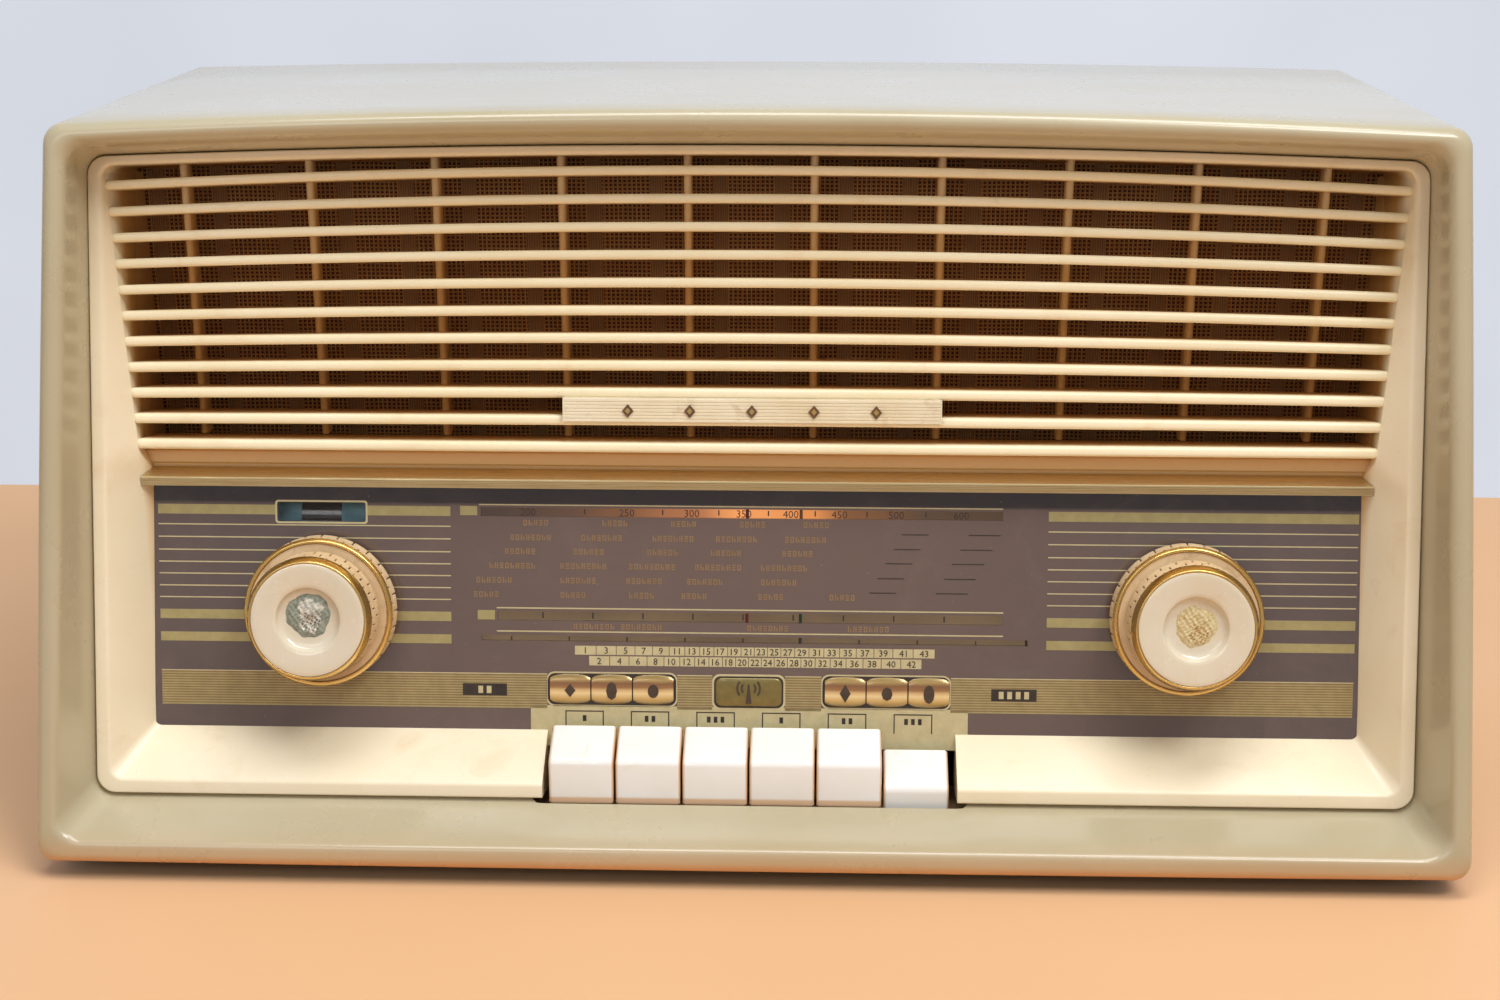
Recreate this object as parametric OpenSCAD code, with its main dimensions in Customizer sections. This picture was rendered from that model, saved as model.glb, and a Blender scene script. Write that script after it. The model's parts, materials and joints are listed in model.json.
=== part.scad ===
// Table radio with a louvred grille, a wide glass dial, two double knobs and six piano keys.
// X runs along the width, Y from the front to the back, Z up. The origin is on the table,
// under the middle of the set.

/* [Cabinet] */
// Width of the cabinet along its bottom front edge
cab_w = 524.6; // [522:0.2:528]
// Depth of the cabinet
cab_d = 235; // [232:1:240]
// Height of the top front corners above the table
cab_corner_h = 269.3; // [268:0.1:272]
// How much the middle of the top front edge stands above its corners
top_rise = 6; // [2:0.5:8]
// Height of the feet
foot_h = 6.6; // [6:0.2:8]
// Thickness of the cabinet walls
wall = 3.2; // [2.6:0.1:3.4]

/* [Front] */
// Backward lean of the dial and the knobs, in degrees
dial_lean = 12.5; // [12:0.1:13]
// Number of louvre slats
slat_count = 11; // [9:1:11]
// Distance between slats
slat_pitch = 9.53; // [9.2:0.01:9.6]
// Thickness of a slat
slat_t = 3.5; // [2.4:0.1:3.6]
// Number of upright ribs behind the slats
rib_count = 10; // [8:1:11]

/* [Controls] */
// Distance of each knob's axis from the middle of the set
knob_x = 162; // [158:1:166]
// Radius of the front knobs
knob_r = 22.6; // [20:0.1:24]
// Radius of the ring knobs behind them
ring_knob_r = 28; // [26:0.1:30]
// Distance between piano keys
key_pitch = 25; // [24:0.1:25]
// Swing of a piano key from up to latched, in degrees
key_swing = 5.6; // [3:0.1:5.8]

/* [Hidden] */
$fn = 48;

// Cabinet shape: the front leans back, the sides lean in, and the back is a little smaller
rim_lean = 12;
front_z0 = 9;
reveal_half_bottom = 256.6;
reveal_half_top = 242.85;
reveal_v0 = 2;
reveal_v1 = 260.6;
corner_r = 7;
side_slope = 0.0428;
rear_draft = 0.021;
top_front_y = (cab_corner_h - front_z0) * tan(rim_lean);
cavity_r = 3;
inner_floor = foot_h + wall + 0.1;

// Front frame: its lip starts here, in distance behind the bottom front edge and height
lip_y = 26.5;
lip_z = 23.5;
lip_h = 236.3;
lip_half_bottom = 245;
lip_half_top = 242.5;
lip_rise = 5;
lip_w = 5;
lip_top_w = 3.3;
frame_gap = 0.4;
frame_t = 22;
glass_w = -19.3;
glass_t = 2.5;
window_v0 = 21.9;
window_v1 = 114.2;
window_half = 226.5;
glass_half = 232;
glass_v0 = 18.6;
glass_v1 = 118;
strip_w0 = -18.9;
strip_w1 = -13;
strip_half_back = 225.8;
strip_half_front = 229.6;
nameplate_half = 69.9;
nameplate_v0 = 140.2;
nameplate_v1 = 149.4;
pip_pitch = 22.9;
grille_v0 = 127;
grille_v1 = 233;
key_gap_half = 77.3;

// Louvre grille
slat_v_top = 225.9;
slat_w_top = -4;
slat_w_bottom = -10.5;
mouth_half_top = 237;
mouth_half_bottom = 229.4;
slat_gap = 0.4;
slat_bow = 6.6;
ring_w = -23.5;
cheek_half = 228.7;
cheek_t = 7.4;
rib_y = 88;
rib_d = 6;
rib_t = 3;
rib_z = 146;
rib_top_z = 246.4;
rib_span = 419.4;
baffle_y = 102.4;
baffle_t = 8;
cloth_t = 0.8;
speaker_x = -62;
speaker_z = 197;
tweeter_x = 130;

// Controls
knob_v = 68;
shaft_r = 3;
tube_r = 5;
fit_gap = 0.05;
ring_knob_w0 = -16.6;
ring_knob_w1 = -6.4;
knob_w0 = -5.6;
knob_w1 = 11;
control_w = -34.4;
control_d = 22;
control_r = 14;
bushing_r = 7;
plate_w = -34;
plate_t = 1.5;

// Pointer drive, in the plane of the cord
cord_w = -62;
cord_r = 0.5;
spindle_r = 5;
idler_r = 8;
idler_x = 212;
idler_v = 107;
drum_r = 40;
drum_x = 40;
drum_v = 67.5;
pulley_t = 5;
pointer_w = -25;
am_x = -2;
fm_x = 18.3;

// Two-gang tuning capacitor, square to the dial; its reduction gear sits in the closed front box
rotor_v = drum_v + 2;
rotor_x = drum_x + 14;
gang_w0 = -106;
gang_w1 = -68.8;

// Piano keys
key_count = 6;
key_w = 24.3;
pivot_y = 125;
pivot_z = 27;
pivot_r = 2;
lever_w = 10;
bank_half = 80;

// Chassis
chassis_half = 205;
chassis_y0 = 112;
chassis_y1 = 214;
chassis_z = 46;
chassis_t = 1.5;

// Back
back_y = 229;
back_t = 3;

function front_y(z) = (z - front_z0) * tan(rim_lean);
function half_at(y, z) = cab_w / 2 - (z - foot_h) * side_slope - max(0, y - front_y(z)) * rear_draft;
function top_at(x, y, inset) =
    cab_corner_h - inset - (y - top_front_y) * rear_draft
    + top_rise * (1 - 0.5 * (y - top_front_y) / (cab_d - top_front_y)) * (1 - pow(x / half_at(y, cab_corner_h), 2));
function plane_y(v, w) = lip_y + v * sin(dial_lean) - w * cos(dial_lean);
function plane_z(v, w) = lip_z + v * cos(dial_lean) + w * sin(dial_lean);
function mouth_half(v) = mouth_half_bottom
    + (mouth_half_top - mouth_half_bottom) * (1 - (slat_v_top - v) / (10 * slat_pitch));

// The origin is halfway between the frontmost and the rearmost point of the cabinet
origin_y = (cab_d + front_y(foot_h + corner_r) + corner_r / cos(rim_lean) - corner_r) / 2;

// Distances behind the bottom front edge become distances from the middle of the set
module place() {
    translate([0, -origin_y, 0]) children();
}

// Local frame of the dial: X across, Y up the dial, Z out of it towards the user
module dial_plane() {
    place() translate([0, lip_y, lip_z]) rotate([90 - dial_lean, 0, 0]) children();
}

// Local frame of the cabinet's front rim
module rim_plane() {
    place() translate([0, 0, front_z0]) rotate([90 - rim_lean, 0, 0]) children();
}

// Upright frame: X across, Y up, Z towards the user, at distance y behind the front edge
module upright(y) {
    place() translate([0, y, 0]) rotate([90, 0, 0]) children();
}

// Trapezium with an arched top, from height v0 to v1
module arched_panel(half0, half1, v0, v1, rise) {
    steps = 12;
    arch = [for (i = [0 : steps]) let (t = 1 - 2 * i / steps) [half1 * t, v1 + rise * (1 - t * t)]];
    polygon(concat([[-half0, v0], [half0, v0]], arch));
}

// Same panel with round corners
module soft_panel(half0, half1, v0, v1, rise, r) {
    offset(r = r) offset(delta = -r) arched_panel(half0, half1, v0, v1, rise);
}

// ---------- Cabinet ----------

module cabinet_ball(x, y, z, r) {
    translate([x, y, z]) sphere(r = r, $fn = 24);
}

// Outer or inner body: front and back rows of balls, wrapped
module body_hull(inset, r, y_front, y_back) {
    hull() {
        for (side = [-1, 1]) {
            for (y = [y_front, y_back]) {
                z0 = foot_h + inset + r;
                y0 = y == y_front ? y_front + front_y(z0) + r / cos(rim_lean) : y - r;
                cabinet_ball(side * (half_at(y0, z0) - inset - r), y0, z0, r);
            }
        }
        for (t = [-1 : 0.25 : 1]) {
            z_top = top_at(0, top_front_y, inset) - r;
            y1 = y_front + front_y(z_top - 6) + r / cos(rim_lean);
            x1 = t * (half_at(y1, cab_corner_h) - inset - r);
            cabinet_ball(x1, y1, top_at(x1, y1, inset) - r, r);
            x2 = t * (half_at(y_back, cab_corner_h) - inset - r);
            cabinet_ball(x2, y_back - r, top_at(x2, y_back, inset) - r, r);
        }
    }
}

module front_opening() {
    hull() {
        rim_plane() translate([0, 0, 8])
            linear_extrude(0.1)
            soft_panel(reveal_half_bottom, reveal_half_top, reveal_v0, reveal_v1, top_rise, 10);
        dial_plane() translate([0, 0, -4])
            linear_extrude(0.1)
            soft_panel(lip_half_bottom + frame_gap, lip_half_top + frame_gap, -frame_gap, lip_h + frame_gap,
                lip_rise, 7);
    }
}

module back_screw_places() {
    for (side = [-1, 1]) {
        translate([side * 249.4, foot_h + 11, 0]) children();
        translate([side * 240.4, 252, 0]) children();
    }
    for (side = [-1, 1]) translate([side * 130, foot_h + 8, 0]) children();
    translate([0, 259, 0]) children();
}

module cabinet() color([0.66, 0.62, 0.49]) {
    difference() {
        place() body_hull(0, corner_r, 0, cab_d);
        place() body_hull(wall, cavity_r, lip_y - front_y(lip_z) + 1, cab_d + 12);
        front_opening();
        place() for (i = [-4 : 4]) for (y = [84, 168])
            translate([i * 34 - 12, y, foot_h - 1]) cube([24, 3.6, wall + 2]);
    }
    intersection() {
        upright(back_y - 0.2) linear_extrude(12) difference() {
            union() {
                back_screw_places() circle(r = 6.5);
                translate([-3, 259]) square([6, 12]);
            }
            back_screw_places() circle(r = 1.5);
        }
        place() body_hull(1, corner_r, 0, cab_d);
    }
}

module rubber_feet() color([0.12, 0.12, 0.12]) place()
    for (x = [-212, 212]) for (y = [44, 196])
        translate([x, y, 0]) cylinder(r1 = 10, r2 = 12, h = foot_h, $fn = 40);

// ---------- Front ----------

module front_frame() color([0.93, 0.87, 0.70]) {
    dial_plane() difference() {
        translate([0, 0, -frame_t]) linear_extrude(frame_t)
            soft_panel(lip_half_bottom, lip_half_top, 0, lip_h, lip_rise, 7);
        hull() {
            translate([0, 0, 0.5]) linear_extrude(0.1)
                soft_panel(lip_half_bottom - lip_w, lip_half_top - lip_w, lip_w, lip_h - lip_top_w, lip_rise, 5);
            translate([0, 0, -19]) linear_extrude(0.1)
                soft_panel(228, 224, window_v0, lip_h - lip_top_w, lip_rise, 4);
        }
        translate([-window_half, window_v0, -frame_t - 1])
            cube([2 * window_half, window_v1 - window_v0, frame_t + 2]);
        translate([-glass_half - 0.4, glass_v0 - 0.4, -frame_t - 1])
            cube([2 * glass_half + 0.8, glass_v1 - glass_v0 + 0.8, frame_t + 1 + glass_w]);
        translate([-key_gap_half, -1, -frame_t - 1]) cube([2 * key_gap_half, window_v0 + 1, frame_t + 2]);
        hull() {
            translate([0, 0, 0.5]) linear_extrude(0.1)
                arched_panel(lip_half_bottom - lip_w - 1, lip_half_top - lip_w, grille_v0, grille_v1, lip_rise);
            grille_mouth();
        }
        grille_room();
    }
}

// Outline of the grille's opening in the sloping plane of the slats' front edges
module grille_mouth() {
    tilt = atan((slat_w_top - slat_w_bottom) / (10 * slat_pitch));
    translate([0, slat_v_top, slat_w_top]) rotate([tilt, 0, 0]) linear_extrude(0.1)
        arched_panel(mouth_half(grille_v0), mouth_half(grille_v1), grille_v0 - slat_v_top, grille_v1 - slat_v_top,
            lip_rise);
}

// Space for the slats, from that opening back to the cloth
module grille_room() hull() {
    grille_mouth();
    rotate([dial_lean - 90, 0, 0]) translate([0, -lip_y + baffle_y, -lip_z]) rotate([90, 0, 0])
        linear_extrude(0.1)
        arched_panel(cheek_half + 0.9, cheek_half + 0.9, 139, 245.2, lip_rise);
}

// One slat, seen from the front as a thin arched band
module slat(half, bow, w0, w1) {
    steps = 16;
    line = [for (i = [0 : steps]) let (t = 2 * i / steps - 1) [half * t, bow * (1 - t * t)]];
    back = [for (i = [0 : steps]) [line[steps - i][0], line[steps - i][1] - slat_t]];
    translate([0, 0, w0]) linear_extrude(w1 - w0) polygon(concat(line, back));
}

module louvre_grille() color([0.95, 0.89, 0.72]) {
    dial_plane() for (i = [0 : slat_count - 1]) {
        part = i / 10;
        v = slat_v_top - i * slat_pitch;
        w1 = slat_w_top + part * (slat_w_bottom - slat_w_top);
        w0 = min(ring_w, -15 - 22 * part);
        front_half = mouth_half(v) - slat_gap;
        back_half = cheek_half + 2 * slat_gap;
        intersection() {
            translate([0, v + slat_t / 2, 0]) slat(front_half, slat_bow * (1 - part), w0, w1);
            translate([0, v + 20, 0]) rotate([90, 0, 0]) linear_extrude(40)
                polygon([[-back_half, w0], [back_half, w0], [front_half, w1], [-front_half, w1]]);
        }
    }
    // Upright ribs, behind the slats' front edges
    upright(rib_y + rib_d) for (i = [0 : rib_count - 1]) {
        x = rib_span * (i / (rib_count - 1) - 0.5);
        rise = lip_rise * (1 - pow(x / mouth_half_top, 2));
        translate([x - rib_t / 2, rib_z, 0]) cube([rib_t, rib_top_z + rise - rib_z, rib_d]);
    }
    // Mounting ring and cheeks behind the front frame
    dial_plane() translate([0, 0, ring_w]) linear_extrude(-frame_t - 0.3 - ring_w) difference() {
        arched_panel(cheek_half + cheek_t + 1, cheek_half + cheek_t + 1, grille_v0 - 5, grille_v1 + 2.6, lip_rise);
        arched_panel(cheek_half + 2, cheek_half + 2, grille_v0 + 1, grille_v1, lip_rise);
    }
    place() for (x = [-cheek_half - cheek_t, cheek_half]) translate([x, 0, 0]) rotate([90, 0, 90])
        linear_extrude(cheek_t) cheek_outline();
}

// Cheek seen from the side: it fills the wedge between the leaning front frame and the upright cloth
module cheek_outline() {
    w = -frame_t - 0.7;
    y1 = baffle_y - 1;
    polygon([[plane_y(grille_v0, w), plane_z(grille_v0, w)], [y1, plane_z(grille_v0, w)],
        [y1, plane_z(grille_v1 + 1.2, w)], [plane_y(grille_v1 + 1.2, w), plane_z(grille_v1 + 1.2, w)]]);
}

module nameplate() color([0.93, 0.90, 0.78]) dial_plane() {
    translate([-nameplate_half, nameplate_v0, -9.2]) cube([2 * nameplate_half, nameplate_v1 - nameplate_v0, 1.8]);
    for (i = [-2 : 2]) translate([i * pip_pitch - 1.9, 142.4, -7.5]) cube([3.8, 3.8, 0.7]);
    for (side = [-1, 1]) translate([side * 50 - 2, nameplate_v0, -9.83]) cube([4, 7.6, 0.73]);
}

// Its section is a beak; its ends are mitred along the side walls of the front frame
module trim_strip() color([0.62, 0.52, 0.27]) dial_plane()
    intersection() {
        rotate([90, 0, 90]) translate([0, 0, -strip_half_front]) linear_extrude(2 * strip_half_front)
            polygon([[114.8, strip_w0], [121.5, strip_w0], [118.5, -13.3], [117.8, strip_w1], [114.9, -13.4]]);
        translate([0, 130, 0]) rotate([90, 0, 0]) linear_extrude(30)
            polygon([[-strip_half_back, strip_w0], [strip_half_back, strip_w0],
                [strip_half_front, strip_w1], [-strip_half_front, strip_w1]]);
    }

module dial_glass() color([0.25, 0.21, 0.18]) dial_plane()
    translate([0, 0, glass_w - glass_t]) linear_extrude(glass_t) difference() {
        translate([-glass_half, glass_v0]) square([2 * glass_half, glass_v1 - glass_v0]);
        for (side = [-1, 1]) translate([side * knob_x, knob_v]) circle(r = 8);
    }

module dial_backplate() color([0.85, 0.82, 0.70]) dial_plane()
    translate([0, 0, plate_w]) linear_extrude(plate_t) difference() {
        translate([-228, 24]) square([456, 85]);
        for (side = [-1, 1]) translate([side * knob_x, knob_v]) circle(r = bushing_r + fit_gap);
        translate([-206, 88]) square([82, 22]);
    }

module tuning_eye() color([0.35, 0.60, 0.60]) dial_plane() {
    translate([-200, 101, -38]) rotate([0, 90, 0]) cylinder(r = 11, h = 66);
    translate([-206, 101, -38]) rotate([0, 90, 0]) cylinder(r = 12.5, h = 6);
    translate([-206, 83, plate_w - 16]) cube([6, 8, 16]);
}

module dial_lamps() color([0.95, 0.85, 0.60]) dial_plane()
    for (side = [-1, 1]) translate([side * 100, 0, 0]) {
        translate([0, 17, -41]) rotate([-90, 0, 0]) cylinder(r = 5, h = 12);
        translate([0, 34, -41]) sphere(r = 5.6, $fn = 24);
        translate([-9, 16, -48]) cube([18, 2, 14]);
        translate([-9, 16, plate_w - 1.5]) cube([18, 20, 1.5]);
    }

// ---------- Pointer drive ----------

// Pointer blade in front of the backplate, with an arm over its top edge to a carriage
module pointer(x, low) dial_plane() {
    translate([x - 0.6, low, pointer_w]) cube([1.2, 113 - low, 0.8]);
    translate([x - 1, 111, cord_w - 7]) cube([2, 2, pointer_w + 0.8 - cord_w + 7]);
    difference() {
        translate([x - 4, 109, cord_w - 10]) cube([8, 14, 7]);
        translate([x - 5, 119, cord_w - 6.5]) rotate([0, 90, 0]) cylinder(r = 1.55, h = 10);
    }
}

module am_pointer() color([0.80, 0.12, 0.10]) pointer(am_x, 60);

module fm_pointer() color([0.10, 0.45, 0.25]) pointer(fm_x, 50);

module pointer_rail() color([0.75, 0.75, 0.75]) dial_plane() {
    translate([-208, 119, cord_w - 6.5]) rotate([0, 90, 0]) cylinder(r = 1.5, h = 416);
    for (side = [-1, 1]) {
        translate([side * 212 - 12, 97, cord_w - 8]) cube([24, 25, 2]);
        translate([side * idler_x, idler_v, cord_w - 6.2]) cylinder(r = 2, h = 9.5);
        translate([side * 223 - 1, 97, cord_w - 8]) cube([2, 11.8, plate_w - cord_w + 8]);
    }
}

// Grooved pulley, its axis along the local Z
module pulley(r, bore) {
    rotate_extrude($fn = 96) polygon([[bore, 0], [r + 1.6, 0], [r - 0.9, 2], [r - 0.9, 3], [r + 1.6, 5], [bore, 5]]);
}

module at_pulley(x, v) {
    dial_plane() translate([x, v, cord_w - pulley_t / 2]) children();
}

module idler_pulley_left() color([0.90, 0.88, 0.80]) at_pulley(-idler_x, idler_v) pulley(idler_r, 2.05);

module idler_pulley_right() color([0.90, 0.88, 0.80]) at_pulley(idler_x, idler_v) pulley(idler_r, 2.05);

module cord_drum() color([0.75, 0.75, 0.72]) at_pulley(drum_x, drum_v) {
    difference() {
        pulley(drum_r, 12);
        for (a = [0 : 60 : 300]) rotate(a) translate([25, 0, -1]) cylinder(r = 7, h = 7);
    }
    difference() {
        cylinder(r = 12, h = pulley_t);
        translate([0, 0, -1]) cylinder(r = shaft_r, h = pulley_t + 2);
    }
    translate([0, 0, -7]) cylinder(r = shaft_r, h = 7 + pulley_t + 1);
}

// Straight run of cord on the outside of two pulleys
module cord_run(c1, r1, c2, r2) {
    d = c2 - c1;
    turn = atan2(d[1], d[0]) + 90 + asin((r2 - r1) / norm(d));
    dir = [cos(turn), sin(turn)];
    n = dir * 0.9 * cord_r;
    p1 = c1 + dir * r1;
    p2 = c2 + dir * r2;
    polygon([p1 - n, p2 - n, p2 + n, p1 + n]);
}

module drive_cord() color([0.85, 0.78, 0.60]) {
    stops = [[[-idler_x, idler_v], idler_r], [[idler_x, idler_v], idler_r],
        [[knob_x, knob_v], spindle_r], [[drum_x, drum_v], drum_r]];
    dial_plane() translate([0, 0, cord_w - cord_r]) linear_extrude(2 * cord_r) {
        for (i = [0 : 3]) {
            a = stops[i];
            b = stops[(i + 1) % 4];
            cord_run(a[0], a[1], b[0], b[1]);
            translate(a[0]) difference() {
                circle(r = a[1] + cord_r, $fn = 96);
                circle(r = a[1] - cord_r + 0.1, $fn = 96);
            }
        }
    }
}

// ---------- Loudspeakers ----------

module oval(half_len, r) {
    translate([-half_len + r, 0]) circle(r = r);
    translate([half_len - r, 0]) circle(r = r);
    translate([-half_len + r, -r]) square([2 * (half_len - r), 2 * r]);
}

module at_speaker(y) {
    upright(y) translate([speaker_x, speaker_z, 0]) children();
}

module grille_cloth() color([0.35, 0.25, 0.16]) upright(baffle_y - 0.1) linear_extrude(cloth_t - 0.2)
    translate([-236, 141]) square([472, 111.5]);

module baffle_board() color([0.45, 0.33, 0.22]) upright(baffle_y + baffle_t) linear_extrude(baffle_t)
    difference() {
        translate([-238, 139]) square([476, 115]);
        translate([speaker_x, speaker_z]) oval(90, 48);
        translate([tweeter_x, speaker_z]) circle(r = 30);
    }

module speaker_frame() color([0.42, 0.42, 0.44]) {
    at_speaker(baffle_y + baffle_t + 2.2) linear_extrude(2) difference() {
        oval(98, 55);
        oval(88, 46);
    }
    difference() {
        hull() {
            at_speaker(baffle_y + baffle_t + 3.2) linear_extrude(1) oval(91, 49);
            at_speaker(160) linear_extrude(1) circle(r = 30);
        }
        hull() {
            at_speaker(baffle_y + baffle_t + 3) linear_extrude(2) oval(89, 47);
            at_speaker(158.6) linear_extrude(1) circle(r = 28);
        }
        at_speaker(170) cylinder(r = 16, h = 20);
    }
}

module speaker_cone() color([0.16, 0.15, 0.14]) difference() {
    hull() {
        at_speaker(baffle_y + baffle_t + 4.4) linear_extrude(1) oval(86, 44);
        at_speaker(150) linear_extrude(1) circle(r = 14);
    }
    hull() {
        at_speaker(baffle_y + baffle_t + 3) linear_extrude(1) oval(84.6, 42.6);
        at_speaker(148.6) linear_extrude(1) circle(r = 12.6);
    }
}

module speaker_magnet() color([0.55, 0.55, 0.57]) {
    at_speaker(188) cylinder(r = 32, h = 27.6);
    at_speaker(160.6) cylinder(r = 12, h = 9.8);
}

module tweeter() color([0.30, 0.30, 0.32]) upright(baffle_y + baffle_t + 36) translate([tweeter_x, speaker_z, 0]) {
    cylinder(r = 22, h = 18);
    translate([0, 0, 18]) cylinder(r1 = 22, r2 = 33, h = 14);
    translate([0, 0, 32]) cylinder(r = 36, h = 3.8);
}

// ---------- Knobs and controls ----------

module at_knob(side) {
    dial_plane() translate([side * knob_x, knob_v, 0]) children();
}

// Front knob: a skirt, a dished face and a blind bore for its shaft
module front_knob(side) at_knob(side) rotate_extrude($fn = 96)
    polygon([[0, 6], [0, 7.6], [9.5, 7.6], [11.8, 10.2], [knob_r - 1.6, knob_w1], [knob_r - 1.6, 9.4],
        [knob_r - 1.6, 8.2], [knob_r, 6.4], [knob_r + 0.9, knob_w0], [shaft_r + fit_gap, knob_w0],
        [shaft_r + fit_gap, 6]]);

// Metal bezel round a front knob's face
module front_knob_trim(side) at_knob(side) rotate_extrude($fn = 96)
    polygon([[knob_r - 1.55, 8.3], [knob_r + 0.1, 6.5], [knob_r + 0.7, 6.6], [knob_r - 0.6, 10.6],
        [knob_r - 1.55, 10.9]]);

// Ring knob: it turns on a tube round the front knob's shaft
module ring_knob(side) at_knob(side) rotate_extrude($fn = 96)
    polygon([[tube_r + fit_gap, ring_knob_w0], [ring_knob_r + 0.2, ring_knob_w0], [ring_knob_r - 0.8, ring_knob_w1 - 2.6],
        [ring_knob_r - 1.9, ring_knob_w1 - 2.6], [ring_knob_r - 1.9, ring_knob_w1 - 0.6], [tube_r + fit_gap, ring_knob_w1 - 0.6]]);

// Metal band round a ring knob's front edge
module ring_knob_trim(side) at_knob(side) rotate_extrude($fn = 96)
    polygon([[ring_knob_r - 1.85, ring_knob_w1 - 2.5], [ring_knob_r - 0.2, ring_knob_w1 - 2.5],
        [ring_knob_r, ring_knob_w1 - 1.2], [ring_knob_r - 0.8, ring_knob_w1], [ring_knob_r - 1.85, ring_knob_w1]]);

module inner_shaft(side, length) at_knob(side)
    translate([0, 0, 5.8 - length]) cylinder(r = shaft_r, h = length);

module outer_shaft(side) at_knob(side)
    translate([0, 0, -45]) linear_extrude(37.8) difference() {
        circle(r = tube_r);
        circle(r = shaft_r + fit_gap);
    }

// Rotary control: a can with a threaded bushing through the backplate, and a nut
module control(side, through) at_knob(side) {
    difference() {
        union() {
            translate([0, 0, control_w - control_d]) cylinder(r = control_r, h = control_d);
            translate([0, 0, control_w - 0.1]) cylinder(r = bushing_r, h = 9);
            translate([0, 0, plate_w + plate_t + 0.1]) cylinder(r = 10, h = 3, $fn = 6);
            translate([-10, -26, control_w - 14]) cube([20, 16, 8]);
        }
        translate([0, 0, -45.3]) cylinder(r = tube_r + fit_gap, h = 30);
        translate([0, 0, through]) cylinder(r = shaft_r + fit_gap, h = 60);
    }
}

module volume_knob() color([0.95, 0.91, 0.80]) front_knob(-1);

module volume_knob_trim() color([0.80, 0.62, 0.28]) front_knob_trim(-1);

module bass_knob() color([0.90, 0.84, 0.70]) ring_knob(-1);

module bass_knob_trim() color([0.80, 0.62, 0.28]) ring_knob_trim(-1);

module tuning_knob() color([0.95, 0.91, 0.80]) front_knob(1);

module tuning_knob_trim() color([0.80, 0.62, 0.28]) front_knob_trim(1);

module treble_knob() color([0.90, 0.84, 0.70]) ring_knob(1);

module treble_knob_trim() color([0.80, 0.62, 0.28]) ring_knob_trim(1);

module volume_shaft() color([0.72, 0.72, 0.70]) inner_shaft(-1, 58);

module bass_shaft() color([0.72, 0.66, 0.40]) outer_shaft(-1);

// Shaft with the grooved spindle that drives the cord
module tuning_shaft() color([0.72, 0.72, 0.70]) {
    inner_shaft(1, 64);
    at_knob(1) translate([0, 0, cord_w - 4]) rotate_extrude($fn = 48)
        polygon([[0, 0], [7, 0], [7, 1.4], [spindle_r - 0.9, 3], [spindle_r - 0.9, 5], [6.6, 5.4], [0, 5.4]]);
}

module treble_shaft() color([0.72, 0.66, 0.40]) outer_shaft(1);

module volume_bass_control() color([0.60, 0.60, 0.58]) control(-1, -53);

module treble_control() color([0.60, 0.60, 0.58]) control(1, -90);

// ---------- Piano keys ----------

function key_x(i) = (i - (key_count - 1) / 2) * key_pitch - 0.4;

// Key with its lever, turned down about the pivot by the given angle
module piano_key(i, press) place() translate([key_x(i), pivot_y, pivot_z]) rotate([press, 0, 0])
    translate([0, -pivot_y, -pivot_z]) {
        translate([-key_w / 2, 0, 0]) rotate([90, 0, 90]) linear_extrude(key_w)
            polygon([[28.2, 23.2], [28.1, 29], [28.8, 33.4], [30.8, 36.8], [33.8, 38.9], [46.4, 44.5], [47, 44.2], [47, 23.2]]);
        translate([-lever_w / 2, 46.9, 23.6]) cube([lever_w, pivot_y - 46.9 - 3.5, 5.4]);
        translate([-lever_w / 2, pivot_y, pivot_z]) rotate([0, 90, 0]) difference() {
            cylinder(r = 5, h = lever_w);
            translate([0, 0, -1]) cylinder(r = pivot_r + fit_gap, h = lever_w + 2);
        }
    }

module key_1() color([0.97, 0.95, 0.92]) piano_key(0, 0);

module key_2() color([0.97, 0.95, 0.92]) piano_key(1, 0);

module key_3() color([0.97, 0.95, 0.92]) piano_key(2, 0);

module key_4() color([0.97, 0.95, 0.92]) piano_key(3, 0);

module key_5() color([0.97, 0.95, 0.92]) piano_key(4, 0);

module key_6() color([0.97, 0.95, 0.92]) piano_key(5, key_swing);

module key_frame() color([0.70, 0.70, 0.68]) place() difference() {
    union() {
        translate([-bank_half, 66, inner_floor]) cube([2 * bank_half, 67, 1.6]);
        translate([-bank_half, 131, inner_floor]) cube([2 * bank_half, 2, 35 - inner_floor]);
        for (side = [-1, 1]) translate([side * (bank_half - 1) - 1, 66, inner_floor]) cube([2, 67, 35 - inner_floor]);
    }
    translate([-bank_half - 1, pivot_y, pivot_z]) rotate([0, 90, 0]) cylinder(r = pivot_r + fit_gap, h = 2 * bank_half + 2);
}

module key_pivot() color([0.55, 0.55, 0.55]) place()
    translate([-bank_half - 2, pivot_y, pivot_z]) rotate([0, 90, 0]) cylinder(r = pivot_r, h = 2 * bank_half + 4);

module key_springs() color([0.65, 0.65, 0.62]) place()
    for (i = [0 : key_count - 1]) translate([key_x(i), 108, inner_floor + 1.6])
        cylinder(r = 2.5, h = 21.2 - inner_floor - 1.6);

module wave_switch() color([0.55, 0.40, 0.22]) place() {
    translate([-74, 133, 15]) cube([148, 14, 3]);
    for (i = [0 : key_count - 1]) translate([key_x(i) - 7, 133, 17.9]) cube([14, 14, 12]);
}

// ---------- Chassis ----------

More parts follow.
